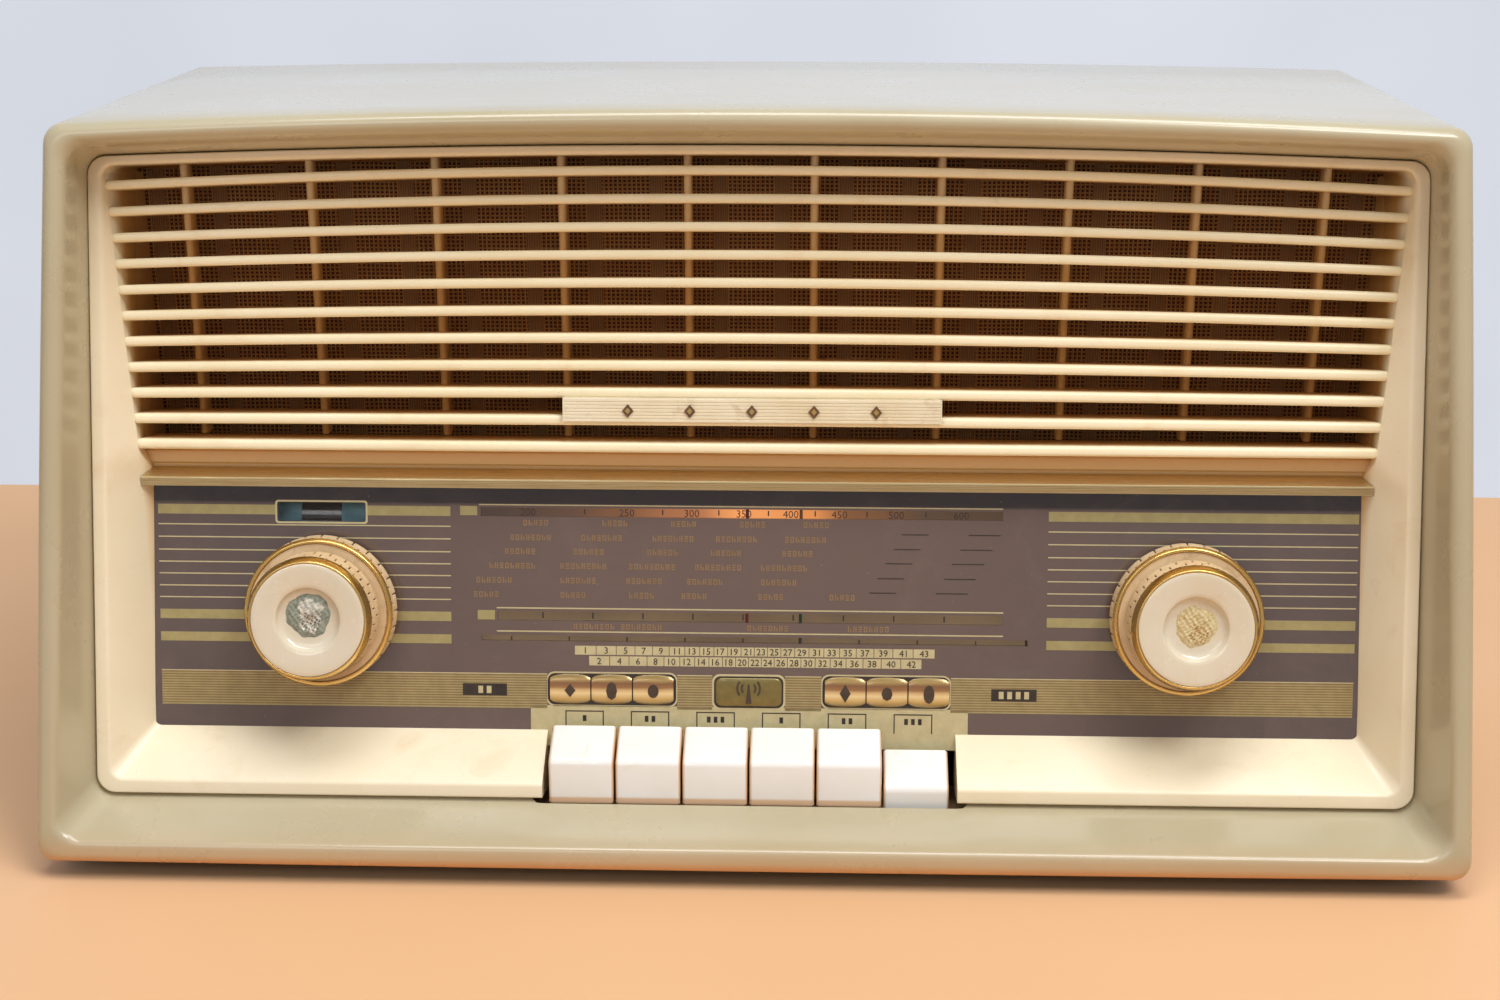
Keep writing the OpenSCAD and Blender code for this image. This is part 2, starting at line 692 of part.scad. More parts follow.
module chassis() color([0.68, 0.68, 0.66]) place() {
    skirt = chassis_z - inner_floor;
    translate([-chassis_half, chassis_y0, chassis_z - chassis_t])
        cube([2 * chassis_half, chassis_y1 - chassis_y0, chassis_t]);
    translate([-chassis_half, chassis_y1 - chassis_t, inner_floor]) cube([2 * chassis_half, chassis_t, skirt]);
    for (side = [-1, 1]) {
        translate([side * (chassis_half - chassis_t / 2) - chassis_t / 2, chassis_y0, inner_floor])
            cube([chassis_t, chassis_y1 - chassis_y0, skirt]);
        translate([side > 0 ? bank_half + 4 : -chassis_half, chassis_y0, inner_floor])
            cube([chassis_half - bank_half - 4, chassis_t, skirt]);
    }
}

module mains_transformer() color([0.35, 0.33, 0.32]) place() translate([-160, 184, chassis_z]) {
    translate([-32, -16, 0]) cube([64, 32, 56]);
    translate([-20, -27, 10]) cube([40, 54, 36]);
}

module output_transformer() color([0.38, 0.36, 0.34]) place() translate([-92, 186, chassis_z]) {
    translate([-18, -9, 0]) cube([36, 18, 32]);
    translate([-11, -15, 6]) cube([22, 30, 20]);
}

module valve(x, y, r, h) translate([x, y, chassis_z]) {
    cylinder(r = r + 1.5, h = 6);
    translate([0, 0, 6]) cylinder(r = r, h = h);
    translate([0, 0, 6 + h]) cylinder(r1 = r, r2 = 2.5, h = 6);
    translate([0, 0, 12 + h]) cylinder(r1 = 2.5, r2 = 1, h = 4);
}

module valves() color([0.75, 0.78, 0.80]) place() {
    valve(-52, 190, 10, 38);
    valve(-16, 190, 10, 38);
    valve(20, 190, 10, 38);
    valve(100, 190, 10, 46);
    valve(-114, 162.5, 7, 34);
}

module if_cans() color([0.80, 0.80, 0.80]) place()
    for (x = [48, 74]) translate([x - 9, 181, chassis_z]) cube([18, 18, 46]);

module electrolytic_can() color([0.82, 0.82, 0.82]) place()
    translate([132, 188, chassis_z]) {
        cylinder(r = 13, h = 58);
        cylinder(r = 15, h = 2);
    }

module fm_tuner() color([0.78, 0.78, 0.76]) place() translate([154, 165, chassis_z]) {
    cube([44, 40, 38]);
    translate([12, 12, 38]) cylinder(r = 8.5, h = 22);
    translate([32, 28, 38]) cylinder(r = 8.5, h = 22);
}

// Wedge between the sloping capacitor and the flat chassis
module capacitor_foot(x) place() translate([x, 0, 0]) rotate([90, 0, 90]) linear_extrude(4)
    polygon([[118, chassis_z], [141.6, chassis_z], [141.6, plane_z(50.5, -106.8)], [118, plane_z(50.5, -82.5)]]);

module capacitor_frame() color([0.62, 0.62, 0.60]) {
    capacitor_foot(20);
    capacitor_foot(72);
    capacitor_body();
}

module capacitor_body() dial_plane() {
    difference() {
        translate([drum_x - 24, 50, gang_w1 - 10]) cube([64, 42, 10]);
        translate([drum_x, drum_v, gang_w1 - 8]) cylinder(r = shaft_r + fit_gap, h = 20);
        translate([rotor_x, rotor_v, gang_w1 - 11]) cylinder(r = shaft_r + fit_gap, h = 8);
    }
    difference() {
        translate([drum_x - 24, 50, gang_w0 - 2]) cube([64, 42, 2]);
        translate([rotor_x, rotor_v, gang_w0 - 3]) cylinder(r = shaft_r + fit_gap, h = 4);
    }
    translate([drum_x - 24, 50, gang_w0]) cube([64, 2, gang_w1 - 10 - gang_w0]);
    for (i = [0 : 5]) difference() {
        translate([drum_x - 23, 52, gang_w0 + 2 + i * 4.2]) cube([rotor_x - drum_x + 23, 38, 0.8]);
        translate([rotor_x, rotor_v, gang_w0]) cylinder(r = 6, h = 40);
    }
}

module capacitor_rotor() color([0.78, 0.78, 0.76]) dial_plane() translate([rotor_x, rotor_v, 0]) {
    translate([0, 0, gang_w0 - 3]) cylinder(r = shaft_r, h = gang_w1 - 10 - gang_w0 + 3 + 7);
    for (i = [0 : 5]) translate([0, 0, gang_w0 + 4.1 + i * 4.2]) linear_extrude(0.8) intersection() {
        circle(r = 17);
        translate([-17, 0]) square([34, 17]);
    }
}

module ferrite_aerial() color([0.20, 0.19, 0.20]) place() {
    translate([-20, 206, 150]) rotate([0, 90, 0]) cylinder(r = 5, h = 150);
    for (x = [0, 86]) translate([x, 206, 150]) rotate([0, 90, 0]) cylinder(r = 8, h = 24);
    for (x = [-8, 116]) translate([x - 1.5, 203, chassis_z]) cube([3, 6, 104]);
}

// ---------- Back ----------

module back_outline(gap) {
    half0 = half_at(back_y, foot_h + 7) - wall - gap;
    half1 = half_at(back_y, cab_corner_h) - wall - gap;
    arched_panel(half0, half1, foot_h + wall + gap, cab_corner_h - wall - gap - 3.8, 2.6);
}

module back_cover() color([0.36, 0.24, 0.15]) upright(back_y + back_t) linear_extrude(back_t) difference() {
    intersection() {
        back_outline(0.9);
        translate([-300, foot_h + wall + 1.4]) square([600, 400]);
    }
    back_screw_places() circle(r = 2.2);
    for (row = [0 : 5]) for (i = [-8 : 8])
        translate([i * 25 - 9, 110 + row * 22]) square([18, 6]);
    for (i = [-8 : 8]) translate([i * 25 - 9, 70]) square([18, 6]);
    translate([-91, 19]) square([182, 24]);
    translate([170, 36]) circle(r = 6);
}

// Upright frame facing the back of the set
module facing_back() {
    place() translate([0, back_y + back_t, 0]) rotate([-90, 0, 0]) mirror([0, 1, 0]) children();
}

module back_screws() color([0.60, 0.58, 0.52]) facing_back() back_screw_places() {
    cylinder(r = 3.4, h = 1.6);
    translate([0, 0, -12]) cylinder(r = 1.4, h = 12.2);
}

module socket_strip() color([0.45, 0.32, 0.18]) place() difference() {
    translate([-90, chassis_y1 + 0.2, 20]) cube([180, 16.4, 22]);
    for (x = [-75, -56, -20, -1, 40, 59]) translate([x, chassis_y1 + 6, 31]) rotate([-90, 0, 0]) cylinder(r = 2.2, h = 20);
}

cabinet();
front_frame();
louvre_grille();
nameplate();
trim_strip();
dial_glass();
dial_backplate();
tuning_eye();
am_pointer();
fm_pointer();
pointer_rail();
drive_cord();
cord_drum();
idler_pulley_left();
idler_pulley_right();
dial_lamps();
grille_cloth();
baffle_board();
speaker_frame();
speaker_cone();
speaker_magnet();
tweeter();
volume_knob();
volume_knob_trim();
bass_knob();
bass_knob_trim();
tuning_knob();
tuning_knob_trim();
treble_knob();
treble_knob_trim();
volume_shaft();
bass_shaft();
tuning_shaft();
treble_shaft();
volume_bass_control();
treble_control();
key_1();
key_2();
key_3();
key_4();
key_5();
key_6();
key_frame();
key_pivot();
key_springs();
wave_switch();
chassis();
mains_transformer();
output_transformer();
valves();
if_cans();
electrolytic_can();
fm_tuner();
capacitor_frame();
capacitor_rotor();
ferrite_aerial();
back_cover();
back_screws();
socket_strip();
rubber_feet();
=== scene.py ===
import bmesh
import bpy
import json
import math
from mathutils import Matrix, Vector

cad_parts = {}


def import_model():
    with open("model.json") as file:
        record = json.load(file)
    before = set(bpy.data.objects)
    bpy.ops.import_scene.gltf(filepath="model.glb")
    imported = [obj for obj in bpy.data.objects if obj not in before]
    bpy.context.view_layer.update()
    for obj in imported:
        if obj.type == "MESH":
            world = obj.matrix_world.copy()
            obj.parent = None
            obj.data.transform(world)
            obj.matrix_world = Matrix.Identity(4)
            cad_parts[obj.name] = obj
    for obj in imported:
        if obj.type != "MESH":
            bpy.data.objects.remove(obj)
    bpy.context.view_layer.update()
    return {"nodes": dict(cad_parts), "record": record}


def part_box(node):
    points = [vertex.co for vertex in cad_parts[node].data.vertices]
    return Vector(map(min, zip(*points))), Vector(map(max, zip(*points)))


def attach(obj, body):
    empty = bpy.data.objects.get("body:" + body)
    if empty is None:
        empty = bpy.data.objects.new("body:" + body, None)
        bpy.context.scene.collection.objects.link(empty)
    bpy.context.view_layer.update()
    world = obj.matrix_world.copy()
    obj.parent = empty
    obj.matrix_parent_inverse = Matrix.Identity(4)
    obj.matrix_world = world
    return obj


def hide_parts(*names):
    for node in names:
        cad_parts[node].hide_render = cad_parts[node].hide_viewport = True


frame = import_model()

# ---------------------------------------------------------------- frame
# Numbers below are millimetres. y counts back from the bottom front edge and z up from the table.
LEAN, RIM = math.radians(12.5), math.radians(12)
SL, CL = math.sin(LEAN), math.cos(LEAN)
LIP_Y, LIP_Z, RIM_Z0 = 26.5, 23.5, 9.0
ORIGIN_Y = LIP_Y + 18.6 * SL + 19.3 * CL - 1000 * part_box("dial_glass")[0].y
FOOT = 1000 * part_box("rubber_feet")[1].z
CAB_W, CAB_D, CORNER_H, TOP_RISE, WALL = 524.6, 235.0, 269.3, 6.0, 3.2
SIDE_SLOPE, DRAFT = 0.0428, 0.021
KNOB_X, KNOB_V = 162.0, 68.0
BAFFLE_Y = 102.4


def world(x, y, z):
    return Vector((x, y - ORIGIN_Y, z)) * 0.001


def dial(x, v, w):
    """Point of the leaning dial plane: v up it, w out of it towards the user, before world() moves it to the shared frame."""
    return Vector((x, LIP_Y + v * SL - w * CL, LIP_Z + v * CL + w * SL))


def rim(x, v, w):
    """Point of the cabinet's front rim plane, in the same manner."""
    return Vector((x, v * math.sin(RIM) - w * math.cos(RIM), RIM_Z0 + v * math.cos(RIM) + w * math.sin(RIM)))


def front_y(z):
    """Depth of the rim plane at a height."""
    return (z - RIM_Z0) * math.tan(RIM)


TOP_Y = front_y(CORNER_H)


def half_at(y, z):
    """Half the cabinet's width: its sides lean in with height and draw in towards the back."""
    return CAB_W / 2 - (z - FOOT) * SIDE_SLOPE - max(0, y - front_y(z)) * DRAFT


def lerp(a, b, t):
    return a + (b - a) * t


def smooth_step(a, b, x):
    t = min(1, max(0, (x - a) / (b - a)))
    return t * t * (3 - 2 * t)


# ---------------------------------------------------------------- mesh tools
def around(n):
    """Angles of n equal steps round a circle."""
    return [2 * math.pi * i / n for i in range(n)]


def arc_between(u, v, turn, f):
    """Direction a fraction f of the way from u to v, which stand at an angle of turn."""
    return (u * math.sin((1 - f) * turn) + v * math.sin(f * turn)) / math.sin(turn)


class Build:
    """Collects points in millimetres, and becomes one object."""

    def __init__(self):
        self.v, self.f, self.m = [], [], []

    def add(self, points, faces, mat=0):
        """Takes in points and the faces between them; mat counts the object's materials."""
        n = len(self.v)
        self.v += [Vector(p) for p in points]
        self.f += [tuple(i + n for i in f) for f in faces]
        self.m += [mat] * len(faces)

    def loft(self, rings, ring_closed=True, path_closed=False, cap0=False, cap1=False, mat=0):
        """Rings of equally many points, joined one to the next."""
        k, n = len(rings[0]), len(rings)
        faces = []
        for i in range(n if path_closed else n - 1):
            for j in range(k if ring_closed else k - 1):
                a, b = i * k + j, i * k + (j + 1) % k
                c, d = ((i + 1) % n) * k + (j + 1) % k, ((i + 1) % n) * k + j
                faces.append((a, b, c, d))
        if cap0:
            faces.append(tuple(range(k - 1, -1, -1)))
        if cap1:
            faces.append(tuple((n - 1) * k + j for j in range(k)))
        self.add([p for r in rings for p in r], faces, mat)

    def prism(self, outline, to3d, w0, w1, mat=0):
        """Flat outline (x, v) between depths w0 and w1; to3d turns (x, v, w) into a point."""
        k = len(outline)
        low = [to3d(x, v, w0) for x, v in outline]
        high = [to3d(x, v, w1) for x, v in outline]
        faces = [(j, (j + 1) % k, k + (j + 1) % k, k + j) for j in range(k)]
        faces += [tuple(range(k - 1, -1, -1)), tuple(range(k, 2 * k))]
        self.add(low + high, faces, mat)

    def box(self, x0, x1, v0, v1, w0, w1, to3d, mat=0):
        self.prism([(x0, v0), (x1, v0), (x1, v1), (x0, v1)], to3d, w0, w1, mat)

    def lathe(self, profile, axis, steps=96, mat=0):
        """Turns a closed profile of (radius, w) round a knob's axis."""
        self.loft([[axis(r * math.cos(a), r * math.sin(a), w) for r, w in profile] for a in around(steps)],
                  path_closed=True, mat=mat)

    def object(self, name, mats, body="root", node=None, slot=None, smooth=38, bevel=0):
        """Makes the object, on its body. smooth is the angle in degrees past which an edge stays sharp."""
        me = bpy.data.meshes.new(name)
        me.from_pydata([world(*p) for p in self.v], [], self.f)
        me.validate()
        for m in mats if isinstance(mats, (list, tuple)) else [mats]:
            me.materials.append(m)
        if len(me.materials) > 1:
            me.polygons.foreach_set("material_index", self.m[: len(me.polygons)])
        fix_normals(me)
        if smooth:
            me.polygons.foreach_set("use_smooth", [True] * len(me.polygons))
            me.set_sharp_from_angle(angle=math.radians(smooth))
        me.update()
        ob = bpy.data.objects.new(name, me)
        bpy.context.scene.collection.objects.link(ob)
        if bevel:
            b = ob.modifiers.new("edge", "BEVEL")
            b.width, b.segments, b.limit_method, b.angle_limit = bevel * 0.001, 3, "ANGLE", math.radians(40)
        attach(ob, body)
        if node:
            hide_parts(node)
        return ob


def fix_normals(me):
    """Joins doubled points, drops faces without area and turns every face outwards."""
    bm = bmesh.new()
    bm.from_mesh(me)
    bmesh.ops.remove_doubles(bm, verts=bm.verts, dist=1e-6)
    bmesh.ops.dissolve_degenerate(bm, dist=1e-7, edges=bm.edges)
    bmesh.ops.recalc_face_normals(bm, faces=bm.faces)
    bm.to_mesh(me)
    bm.free()


def fillet(corners, radii, steps=5):
    """Rounds the corners of a closed outline. The same radii always give the same number of points."""
    corners = [Vector(p) for p in corners]
    out, n = [], len(corners)
    for i, p in enumerate(corners):
        r = radii[i]
        if r <= 0:
            out.append(p)
            continue
        a, b = corners[i - 1] - p, corners[(i + 1) % n] - p
        la, lb = a.length, b.length
        a, b = a / la, b / lb
        half = a.angle(b) / 2
        t = min(r / max(math.tan(half), 1e-3), la * 0.48, lb * 0.48)
        c = p + (a + b).normalized() * (t / max(math.cos(half), 1e-3))
        u, v = p + a * t - c, p + b * t - c
        turn = u.angle(v)
        for s in range(steps + 1):
            f = s / steps
            if turn < 1e-4:
                out.append(c + lerp(u, v, f))
            else:
                out.append(c + arc_between(u, v, turn, f))
    return out


def panel(half0, half1, v0, v1, rise, r, start=0.0, r_top=None, runs=(16, 7, 26, 7, 22)):
    """Rounded trapezium with an arched top, as (x, v) points: from (start, v0) to the right, round to (-start, v0).

    runs counts the steps along half of it: bottom, corner, side, corner, top.
    """
    r_top = r if r_top is None else r_top
    br, tr = Vector((half0, v0)), Vector((half1, v1))
    up, arch = (tr - br).normalized(), Vector((-1, 2 * rise / half1)).normalized()

    def corner(p, a, b, rad, n):
        half = a.angle(b) / 2
        t = rad / math.tan(half)
        c = p + (a + b).normalized() * (t / math.cos(half))
        u, v = p + a * t - c, p + b * t - c
        turn = u.angle(v)
        return [c + arc_between(u, v, turn, s / n) for s in range(n + 1)]

    low = corner(br, Vector((-1, 0)), up, r, runs[1])
    high = corner(tr, -up, arch, r_top, runs[3])
    half = [Vector((lerp(start, low[0].x, i / runs[0]), v0)) for i in range(runs[0])] + low
    half += [low[-1].lerp(high[0], i / runs[2]) for i in range(1, runs[2])] + high
    for i in range(1, runs[4] + 1):
        x = lerp(high[-1].x, 0, i / runs[4])
        half.append(Vector((x, v1 + rise * (1 - (x / half1) ** 2))))
    left = [Vector((-p.x, p.y)) for p in reversed(half[:-1])]
    return half + (left if start else left[:-1])


def cut_away(ob, tools):
    """Cuts the solids collected in tools out of ob for good."""
    cutter = tools.object("cutter", ob.data.materials[0], smooth=0)
    mod = ob.modifiers.new("cut", "BOOLEAN")
    mod.object, mod.operation, mod.solver = cutter, "DIFFERENCE", "EXACT"
    me = bpy.data.meshes.new_from_object(ob.evaluated_get(bpy.context.evaluated_depsgraph_get()))
    ob.modifiers.clear()
    ob.data = me
    bpy.data.objects.remove(cutter)


# ---------------------------------------------------------------- materials
def srgb(colour):
    """Screen colour out of 255, as the linear colour that a node takes."""
    return tuple((c / 255 / 12.92) if c / 255 <= 0.04045 else ((c / 255 + 0.055) / 1.055) ** 2.4 for c in colour) + (1,)


class Mat:
    """A node material being built up, on the piece's own coordinates in metres."""

    def __init__(self, name, rough=0.5, metallic=0.0, coat=0.0, coat_rough=0.05, sheen=0.0, sss=0.0):
        self.m = bpy.data.materials.new(name)
        self.m.use_nodes = True
        self.nt = self.m.node_tree
        self.bsdf = self.nt.nodes["Principled BSDF"]
        self.set("Roughness", rough)
        self.set("Metallic", metallic)
        self.set("Coat Weight", coat)
        self.set("Coat Roughness", coat_rough)
        self.set("Specular IOR Level", 0.5)
        self.set("Sheen Weight", sheen)
        if sss:
            self.set("Subsurface Weight", sss)
            self.bsdf.inputs["Subsurface Radius"].default_value = (1.0, 0.6, 0.3)
            self.set("Subsurface Scale", 0.002)
        self.coord = self.node("ShaderNodeTexCoord").outputs["Object"]

    def set(self, name, value):
        self.bsdf.inputs[name].default_value = value

    def node(self, kind, **values):
        n = self.nt.nodes.new(kind)
        for k, v in values.items():
            setattr(n, k, v)
        return n

    def link(self, a, b):
        self.nt.links.new(a, b)

    def put(self, socket, value):
        """Feeds an input from another socket, or sets it to a number or a screen colour."""
        if isinstance(value, bpy.types.NodeSocket):
            self.link(value, socket)
        else:
            socket.default_value = srgb(value) if isinstance(value, (tuple, list)) else value

    def mapped(self, scale):
        n = self.node("ShaderNodeMapping")
        n.inputs["Scale"].default_value = scale
        self.link(self.coord, n.inputs["Vector"])
        return n.outputs[0]

    def noise(self, scale, detail=3, rough=0.5, vector=None, distortion=0.0):
        n = self.node("ShaderNodeTexNoise")
        n.inputs["Scale"].default_value = scale
        n.inputs["Detail"].default_value = detail
        n.inputs["Roughness"].default_value = rough
        n.inputs["Distortion"].default_value = distortion
        self.link(vector or self.coord, n.inputs["Vector"])
        return n.outputs[0]

    def ramp(self, fac, stops):
        n = self.node("ShaderNodeValToRGB")
        e = n.color_ramp.elements
        while len(e) < len(stops):
            e.new(0.5)
        for i, (p, c) in enumerate(stops):
            e[i].position = p
            e[i].color = c if len(c) == 4 else srgb(c)
        self.link(fac, n.inputs[0])
        return n.outputs[0]

    def grey(self, fac, stops):
        return self.ramp(fac, [(p, (g, g, g, 1)) for p, g in stops])

    def step(self, fac, low, high, top=1.0):
        """Rises from nothing at low to top at high."""
        return self.grey(fac, [(low, 0.0), (high, top)])

    def tones(self, fac, low, high, a, b):
        """Colour a where fac is under low, b where it is over high."""
        return self.mix(self.step(fac, low, high), a, b)

    def mix(self, fac, a, b):
        n = self.node("ShaderNodeMix", data_type="RGBA")
        for i, v in ((0, fac), (6, a), (7, b)):
            self.put(n.inputs[i], v)
        return n.outputs[2]

    def math(self, op, a, b=0.0, clamp=False):
        n = self.node("ShaderNodeMath", operation=op, use_clamp=clamp)
        self.put(n.inputs[0], a)
        self.put(n.inputs[1], b)
        return n.outputs[0]

    def mul(self, a, b):
        return self.math("MULTIPLY", a, b)

    def plus(self, a, b):
        return self.math("ADD", a, b)

    def sub(self, a, b):
        return self.math("SUBTRACT", a, b)

    def split(self):
        """The piece's x, y and z in metres."""
        n = self.node("ShaderNodeSeparateXYZ")
        self.link(self.coord, n.inputs[0])
        return n.outputs

    def behind(self):
        """Depth in mm behind the front edges of the louvres."""
        x, y, z = self.split()
        dy = self.sub(y, (LIP_Y - ORIGIN_Y) / 1000)
        dz = self.sub(z, LIP_Z / 1000)
        w = self.plus(self.mul(dy, -CL * 1000), self.mul(dz, SL * 1000))
        v = self.plus(self.mul(dy, SL * 1000), self.mul(dz, CL * 1000))
        edge = self.plus(self.mul(v, 0.0682), -19.41)
        return self.sub(edge, w)

    def bump(self, height, strength=0.3, distance=0.0002):
        n = self.node("ShaderNodeBump")
        n.inputs["Strength"].default_value = strength
        n.inputs["Distance"].default_value = distance
        self.link(height, n.inputs["Height"])
        self.link(n.outputs[0], self.bsdf.inputs["Normal"])

    def color(self, socket):
        self.link(socket, self.bsdf.inputs["Base Color"])

    def glow(self, socket, strength):
        self.link(socket, self.bsdf.inputs["Emission Color"])
        self.set("Emission Strength", strength)

    def rough(self, fac, low, high, a, b):
        """Roughness a where fac is under low, b where it is over high."""
        self.link(self.grey(fac, [(low, a), (high, b)]), self.bsdf.inputs["Roughness"])


def plastic(name, base, tint, dark, rough=0.3, coat=0.3, stain_and_shade=0.35, scale=18.0, sss=0.0, bump=0.06,
            coat_rough=0.08, deep=None):
    """Aged moulded plastic: slow colour drift, small stains and specks, fine surface waviness; deep adds painted shade
    behind the louvres' front edges.
    """
    k = Mat(name, rough, coat=coat, coat_rough=coat_rough, sss=sss)
    drift = k.step(k.noise(scale, 4, 0.55), 0.35, 0.68)
    col = k.mix(drift, base, tint)
    spots = k.step(k.noise(scale * 2.7, 5, 0.62, distortion=0.6), 0.58, 0.74, stain_and_shade)
    col = k.mix(spots, col, dark)
    if deep:
        # painted shade: yellower and darker further behind the louvres' front edges, where less light reaches
        near, far, colour = deep
        painted_amber = k.math("DIVIDE", k.sub(k.behind(), near), far - near, clamp=True)
        col = k.mix(painted_amber, col, colour)
    specks = k.step(k.noise(1500, 2, 0.5), 0.70, 0.76, 0.35)
    col = k.mix(specks, col, [c * 0.72 for c in dark])
    k.color(col)
    k.rough(k.noise(scale * 6, 4, 0.6), 0.3, 0.7, rough * 0.75, min(1, rough * 1.35))
    k.bump(k.noise(230, 3, 0.5), bump, 0.0003)
    return k.m


def metal(name, a, b, rough=0.35, brushed=True, scale=60.0, bump=0.15):
    """Bright metal of two close tones, brushed along x or evenly grained."""
    k = Mat(name, rough, metallic=1.0)
    v = k.mapped((4, 90, 90)) if brushed else None
    grain = k.noise(scale if not brushed else 12, 5, 0.6, v)
    k.color(k.tones(grain, 0.3, 0.7, a, b))
    k.rough(grain, 0.25, 0.75, rough * 0.7, min(1, rough * 1.4))
    k.bump(k.noise(700, 3, 0.5), bump, 0.0001)
    return k.m


def plain(name, a, b, rough=0.6, scale=90.0, metallic=0.0, bump=0.2, coat=0.0, dist=0.0002):
    """Matt or painted inner parts: two close tones, uneven sheen and a little tooth."""
    k = Mat(name, rough, metallic=metallic, coat=coat)
    k.color(k.tones(k.noise(scale, 5, 0.6), 0.35, 0.65, a, b))
    k.rough(k.noise(scale * 2, 3), 0.3, 0.7, rough * 0.8, min(1, rough * 1.2))
    k.bump(k.noise(scale * 6, 4), bump, dist)
    return k.m


def key_material():
    """White keys, with painted amber shade in the gaps between them and along their lower edge."""
    k = Mat("key_plastic", 0.2, coat=0.6, coat_rough=0.04, sss=0.06)
    x, y, z = k.split()
    col = k.tones(k.noise(34, 4), 0.35, 0.7, (240, 239, 235), (236, 232, 224))
    # painted amber shade in the gaps between the keys
    cell = k.mul(k.plus(x, 1.0004), 40)
    gap = k.math("ABSOLUTE", k.sub(k.math("FRACT", k.plus(cell, 0.5)), 0.5))
    stain_and_shade = k.grey(gap, [(0.014, 0.95), (0.055, 0.0)])
    foot_shade = k.grey(k.mul(z, 25), [(0.568, 0.7), (0.590, 0.0)])
    # the sixth key lies pressed down at rest, so its lower front is left without painted shade where it rises
    foot_shade = k.mul(foot_shade, k.math("LESS_THAN", x, 0.0496))
    patch = k.step(k.noise(60, 5, 0.65, distortion=0.8), 0.62, 0.76, 0.3)
    col = k.mix(k.math("MAXIMUM", stain_and_shade, foot_shade), col, (214, 156, 84))
    k.color(k.mix(patch, col, (216, 184, 136)))
    k.rough(k.noise(90, 4), 0.3, 0.7, 0.14, 0.26)
    k.bump(k.noise(230, 3), 0.04, 0.0003)
    return k.m


def cabinet_material():
    """Olive-beige moulding, with painted warm light along its thin lower edge, painted shade on its underside, and a
    painted pale reflection on top, streaked like wiped dust.
    """
    k = Mat("cabinet", 0.3, coat=0.45, coat_rough=0.10, sss=0.04)
    x, y, z = k.split()
    drift = k.step(k.noise(7, 4, 0.5), 0.3, 0.7)
    col = k.mix(drift, (188, 177, 148), (178, 166, 134))
    # painted warm light: the thin lower edge turns amber
    painted_amber = k.grey(k.mul(z, 1000.0 / 60), [(0.12, 0.85), (0.18, 0.25), (0.30, 0.0)])
    col = k.mix(painted_amber, col, (214, 140, 62))
    # painted shade: the flat underside next to the table is dark brown
    col = k.mix(k.grey(k.mul(z, 1000.0 / 60), [(0.1172, 1.0), (0.119, 0.0)]), col, (44, 36, 26))
    grime = k.step(k.noise(20, 4, 0.55), 0.56, 0.80, 0.16)
    col = k.mix(grime, col, (146, 126, 80))
    # painted pale reflection of the wall on the top, streaked like wiped dust
    high = k.mul(k.step(k.mul(z, 3.4), 0.885, 0.905), k.step(k.plus(k.mul(y, 4), 0.5), 0.28, 0.34))
    dust_and_reflection_streak = k.grey(k.noise(9, 2, 0.4, k.mapped((1.0, 5.0, 1.0))), [(0.3, 0.55), (0.7, 0.8)])
    col = k.mix(k.mul(high, dust_and_reflection_streak), col, (190, 188, 182))
    speck = k.step(k.noise(1100, 2), 0.72, 0.78, 0.2)
    k.color(k.mix(speck, col, (120, 112, 88)))
    k.rough(k.noise(30, 5, 0.6), 0.3, 0.7, 0.24, 0.36)
    k.bump(k.noise(160, 3), 0.02, 0.0004)
    return k.m


BAND_PITCH = 0.02355


def cloth_material():
    """Brown loudspeaker cloth: upright bands of open mesh between plain woven bands."""
    k = Mat("grille_cloth", 0.85, sheen=0.25)
    x, y, z = k.split()
    wob = k.mul(k.sub(k.noise(45, 2), 0.5), 0.0007)
    xx, zz = k.plus(x, wob), k.plus(z, wob)

    def wave(v, pitch):
        return k.math("SINE", k.mul(v, 2 * math.pi / pitch))

    hole = k.mul(k.grey(wave(xx, 0.00172), [(0.0, 1.0), (0.5, 0.0)]), k.grey(wave(zz, 0.00156), [(0.0, 1.0), (0.6, 0.0)]))
    band = k.sub(1.0, k.grey(k.math("FRACT", k.mul(k.plus(x, 1.1459), 1 / BAND_PITCH)),
                             [(0.0, 1.0), (0.21, 1.0), (0.245, 0.0), (0.975, 0.0), (0.999, 1.0)]))
    mesh = k.mul(hole, band)
    thread = k.mix(k.step(wave(xx, 0.00078), 0.2, 0.9), (216, 152, 80), (255, 216, 144))
    thread = k.mix(k.step(wave(zz, 0.0007), 0.2, 0.9, 0.6), thread, (190, 126, 64))
    plain_c = k.mix(k.step(wave(xx, 0.0009), 0.2, 0.9), (176, 134, 86), (212, 168, 116))
    col = k.mix(band, plain_c, thread)
    col = k.mix(k.step(k.noise(60, 4), 0.3, 0.75, 0.4), col, (170, 116, 62))
    k.color(k.mix(mesh, col, (104, 62, 26)))
    k.bump(k.sub(k.mul(wave(xx, 0.00078), 0.3), mesh), 0.8, 0.0004)
    return k.m


